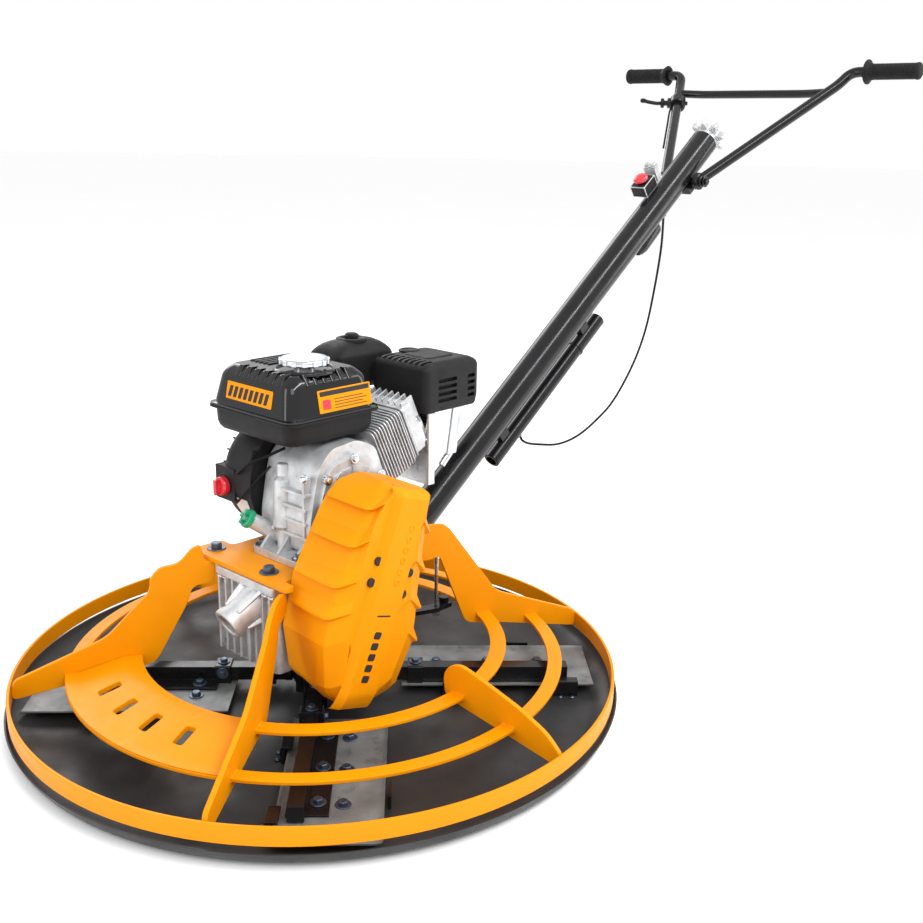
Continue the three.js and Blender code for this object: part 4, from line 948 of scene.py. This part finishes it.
# ---- handle ----
def make_handle():
    tube = Shape().from_cad("handle_tube")
    tube.lathe([(25, 30), (25, 1157), (27.8, 1157), (29.2, 1155.5), (29.2, -19), (28, -20), (0, -20),
                (0, 30)], TUBE_AXIS, 128)
    tube.lathe([(0, 0), (11, 0), (14.5, 6), (17.3, 17), (17, 40), (16.2, 76), (13, 83), (0, 84)],
               on_handle(832, 37), 48)
    tube.rod(STEERING @ Vector((615, 0, -37)), STEERING @ Vector((836, 0, -37)), 2.7, 24)
    for side in (-1, 1):
        tube.lathe([(0, 0), (11, 0), (12, 1), (12, 6), (11, 7), (0, 7)],
                   along((PIVOT.x, 54 * side, PIVOT.z), (0, -side, 0)), 40)
    tube.lathe([(29, -18), (34, -16), (36, -6), (33, 4), (29, 6)], TUBE_AXIS, 96)
    tube.make("handle_tube_weldment", "black_paint", instead_of=["handle_tube"], bevel=1.2)
    bolts = Shape()
    for side in (-1, 1):
        bolts.bolt((PIVOT.x, 59 * side, PIVOT.z), axis=(0, side, 0), across=13, height=5)
    bolts.make("handlebar_pivot_bolts", "black_paint", bevel=0.4)

    lower = Shape().lathe([(11, 250), (15, 250), (16, 251), (16, 651), (15, 652), (11, 652)],
                          on_handle(0, 64), 72)
    lower.lathe([(16, 0), (17.6, 1), (17.6, 5), (16, 6)], on_handle(560, 64), 72)
    for reach in (290, 590):
        lower.box(reach, reach + 24, -8, 8, -52, -29.3, STEERING)
    lower.rod(STEERING @ Vector((337, 0, -76)), STEERING @ Vector((337, 0, -86)), 5, 32)
    lower.make("lifting_tube_weldment", "black_paint", instead_of=["lifting_tube"])


def make_pitch_knob():
    lobes, around = 8, 96
    outline = []
    for i in range(around):
        angle = 2 * math.pi * i / around
        peak = (0.5 + 0.5 * math.cos(lobes * angle)) ** 1.6
        outline.append(((26.5 + 16 * peak) * math.cos(angle), (26.5 + 16 * peak) * math.sin(angle)))
    seat = TUBE_AXIS @ shift(0, 0, 1157.3)
    star = Shape().rings([
        [seat @ Vector((x * k, y * k, z)) for x, y in outline]
        for k, z in ((0.90, 12), (0.97, 13.5), (1, 17), (1, 25), (0.97, 28.5), (0.90, 30))
    ])
    star.lathe([(0, -90), (8, -90), (8, 0), (24, 0), (25, 2), (25, 12), (22, 14), (0, 14)], seat, 64)
    star.lathe([(0, 29), (20, 29), (19, 31.5), (14, 32.5), (9, 32.5), (8, 31), (0, 31)], seat, 64)
    star.make("pitch_knob_star", "cast_aluminium", "knob", ["pitch_knob"], bevel=1.0)


PIVOT, BEND = Vector((1041, 42, 832)), Vector((1332, 203, 1041))
GRIP_X, GRIP_Z = 1354, 1066


def mirrored(points, side):
    return [Vector((x, y * side, z)) for x, y, z in points]


def make_handlebar():
    bar = Shape()
    for side in (1, -1):
        leg = [tuple(PIVOT), tuple(BEND), (GRIP_X, 216, GRIP_Z), (GRIP_X, 360, GRIP_Z)]
        bar.tube(rounded_path(mirrored(leg, side), 20), 11, 32)
        bar.lathe([(7.4, -6), (16.8, -6), (18, -4.8), (18, 4.8), (16.8, 6), (7.4, 6)],
                  along((PIVOT.x, PIVOT.y * side, PIVOT.z), (0, 1, 0)), 48)
    brace = [(1306, -187, 1022), (1318, -130, 1020), (1318, 130, 1020), (1306, 187, 1022)]
    bar.tube(rounded_path(brace, 22), 9, 28)
    bar.make("handlebar_tubes", "black_paint", "bar", ["handlebar"], angle=50)
    for node, side in (("grip_left", 1), ("grip_right", -1)):
        flange = [(22, 252), (23.5, 253.5), (22.5, 256), (20, 260), (18, 264), (17, 266)]
        disc = [(25.4, 252), (26, 252.8), (26, 254.6), (25.4, 255.4), (19, 256.4), (17, 266)]
        profile = [(11.3, 252), *(flange if side > 0 else disc)]
        for k in range(20):
            y = 268 + 4.5 * k
            profile += [(17, y), (15.8, y + 1.2), (15.8, y + 2.6), (17, y + 3.8)]
        profile += [(17, 360), (18, 363), (17, 367), (12, 370), (0, 370), (0, 361), (11.3, 361)]
        grip = Shape().lathe(profile, along((GRIP_X, 0, GRIP_Z), (0, side, 0)), 64)
        grip.make(f"{node}_rubber", "rubber", "bar", [node], bevel=0)


def make_throttle():
    centre = PIVOT.lerp(BEND, 0.8)
    way = (BEND - PIVOT).normalized()
    out = Vector((-way.y, way.x, 0)).normalized()
    clamp = Shape().lathe([(11.2, -13), (17.5, -13), (19, -11), (19, 11), (17.5, 13), (11.2, 13)],
                          along(centre, way), 56)
    clamp.rod(centre + out * 17, centre + out * 31, 6, 32)
    clamp.lathe([(0, 0), (10, 0), (12, 2), (12, 6), (10, 8), (0, 8)], along(centre + out * 16, out), 48)
    clamp.bolt(tuple(centre - out * 17), axis=tuple(-out), across=9, height=5)
    clamp.make("throttle_clamp_body", "black_paint", "bar")
    start = centre + out * 31.3
    end = start + out * 8
    tip = end + Vector((-46, 18, 4))
    lever = Shape().rod(start, end, 11, 48, None, 1.5)
    bow = [start + out * 4, start + out * 6 + Vector((-14, 4, -1)), tip + Vector((16, -7, -3)), tip]
    lever.tube(smooth_path(bow, 6), 4.2, 20)
    lever.lathe([(0, -7), (4, -6), (5.2, -2), (5.2, 4), (4, 7), (0, 8)], along(tip, tip - start), 32)
    lever.make("throttle_lever_arm", "black_plastic", "lever", ["throttle_lever"], bevel=0.6,
               slot="black_paint")
    wire = Shape()
    line = [centre + out * 12 - way * 12]
    line += [centre - way * d + out * 15 for d in (40, 90, 140, 190)]
    wire.tube(smooth_path(line, 6), 2.2, 12)
    wire.make("throttle_inner_cable", "rubber", "bar", bevel=0)


def make_stop_switch():
    base = Shape().from_cad("stop_switch_base")
    for y in (12, 27):
        base.bolt((987, y, 64), across=9, height=5, place=STEERING)
    base.make("stop_switch_bracket", "cast_aluminium", instead_of=["stop_switch_base"], bevel=1.2)
    block = Shape().stack([(31, 925.4, 970.6, 3.4, 40.6, 5), (53, 925.4, 970.6, 3.4, 40.6, 5),
                           (55.4, 928, 968, 6, 38, 4)], STEERING)
    x, y = 946, 22
    well = Shape().rod(STEERING @ Vector((x, y, 40)), STEERING @ Vector((x, y, 70)), 9, 40)
    block.make("stop_switch_block", "black_plastic", cutter=well, slot="cast_aluminium")
    seat = STEERING @ shift(x, y, 55)
    button = Shape().lathe([(0, -3), (8, -3), (8, 4), (14, 4), (15.4, 5.5), (15.6, 8), (13.8, 11.5),
                            (10, 13.6), (5, 14.3), (0, 14.5)], seat, 64)
    button.make("stop_button_mushroom", "red_plastic", "button", ["stop_button"], bevel=0)


def dress_hidden_nodes():
    """CAD nodes that keep their own shape take the material of their slot."""
    for name, look in (
        ("output_shaft", "bronze"), ("input_shaft", "bright_steel"), ("v_belt", "rubber"),
    ):
        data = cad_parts[name].data
        data.materials.clear()
        data.materials.append(LOOKS[look])


# ---- stage ----
def make_stage():
    disc = Shape().lathe([(0, 0), (40000, 0), (40000, -50), (0, -50)], shift(0, 0, -0.4), 96)
    floor = disc.object("studio_floor")
    pale = material("studio_pale", (0.975, 0.975, 0.975), 0.8, mottle=0.008, patch=1.5, grain=90, depth=0.05)
    floor.data.materials.append(pale)

    world = bpy.data.worlds.new("studio_sky")
    scene.world = world
    world.use_nodes = True
    world.node_tree.nodes["Background"].inputs["Color"].default_value = (1.0, 1.0, 1.0, 1)
    world.node_tree.nodes["Background"].inputs["Strength"].default_value = 1.0

    def lamp(name, place, size, power, target, long_side=None):
        data = bpy.data.lights.new(name, "AREA")
        data.shape, data.size, data.size_y, data.energy = "RECTANGLE", *size, power
        made = bpy.data.objects.new(name, data)
        aim = (Vector(target) - Vector(place)).normalized()
        if long_side is None:
            pose = aim.to_track_quat("-Z", "Y").to_matrix()
        else:
            across = (Vector(long_side) - aim * aim.dot(Vector(long_side))).normalized()
            pose = Matrix((across, aim.cross(across) * -1, -aim)).transposed()
        made.matrix_world = Matrix.Translation(place) @ pose.to_4x4()
        scene.collection.objects.link(made)

    centre = (0.45, 0, 0.4)
    lamp("key", (-2.2, -3.2, 3.4), (2.6, 2.0), 62, centre)
    lamp("side", (3.4, -2.2, 1.8), (0.9, 3.2), 40, centre)
    lamp("back", (1.5, 3.6, 2.6), (3.0, 1.6), 60, centre)
    lamp("left", (-3.6, 1.2, 1.6), (1.0, 2.6), 35, centre)
    lamp("strip", (0.87, -2.1, 3.34), (4.0, 0.35), 100, (0.65, 0, 0.55), (0.8, 0, 0.6))
    scene.view_settings.view_transform = "Standard"


make_guard()
make_frame_plate()
make_rotor()
make_gearbox()
make_sheaves()
make_belt_cover()
make_crankcase()
make_cylinder()
make_fan_housing()
make_tank()
make_tank_labels()
make_exhaust()
make_intake()
make_engine_controls()
make_pitch_linkage()
make_handle()
make_pitch_knob()
make_handlebar()
make_throttle()
make_stop_switch()
dress_hidden_nodes()
make_stage()
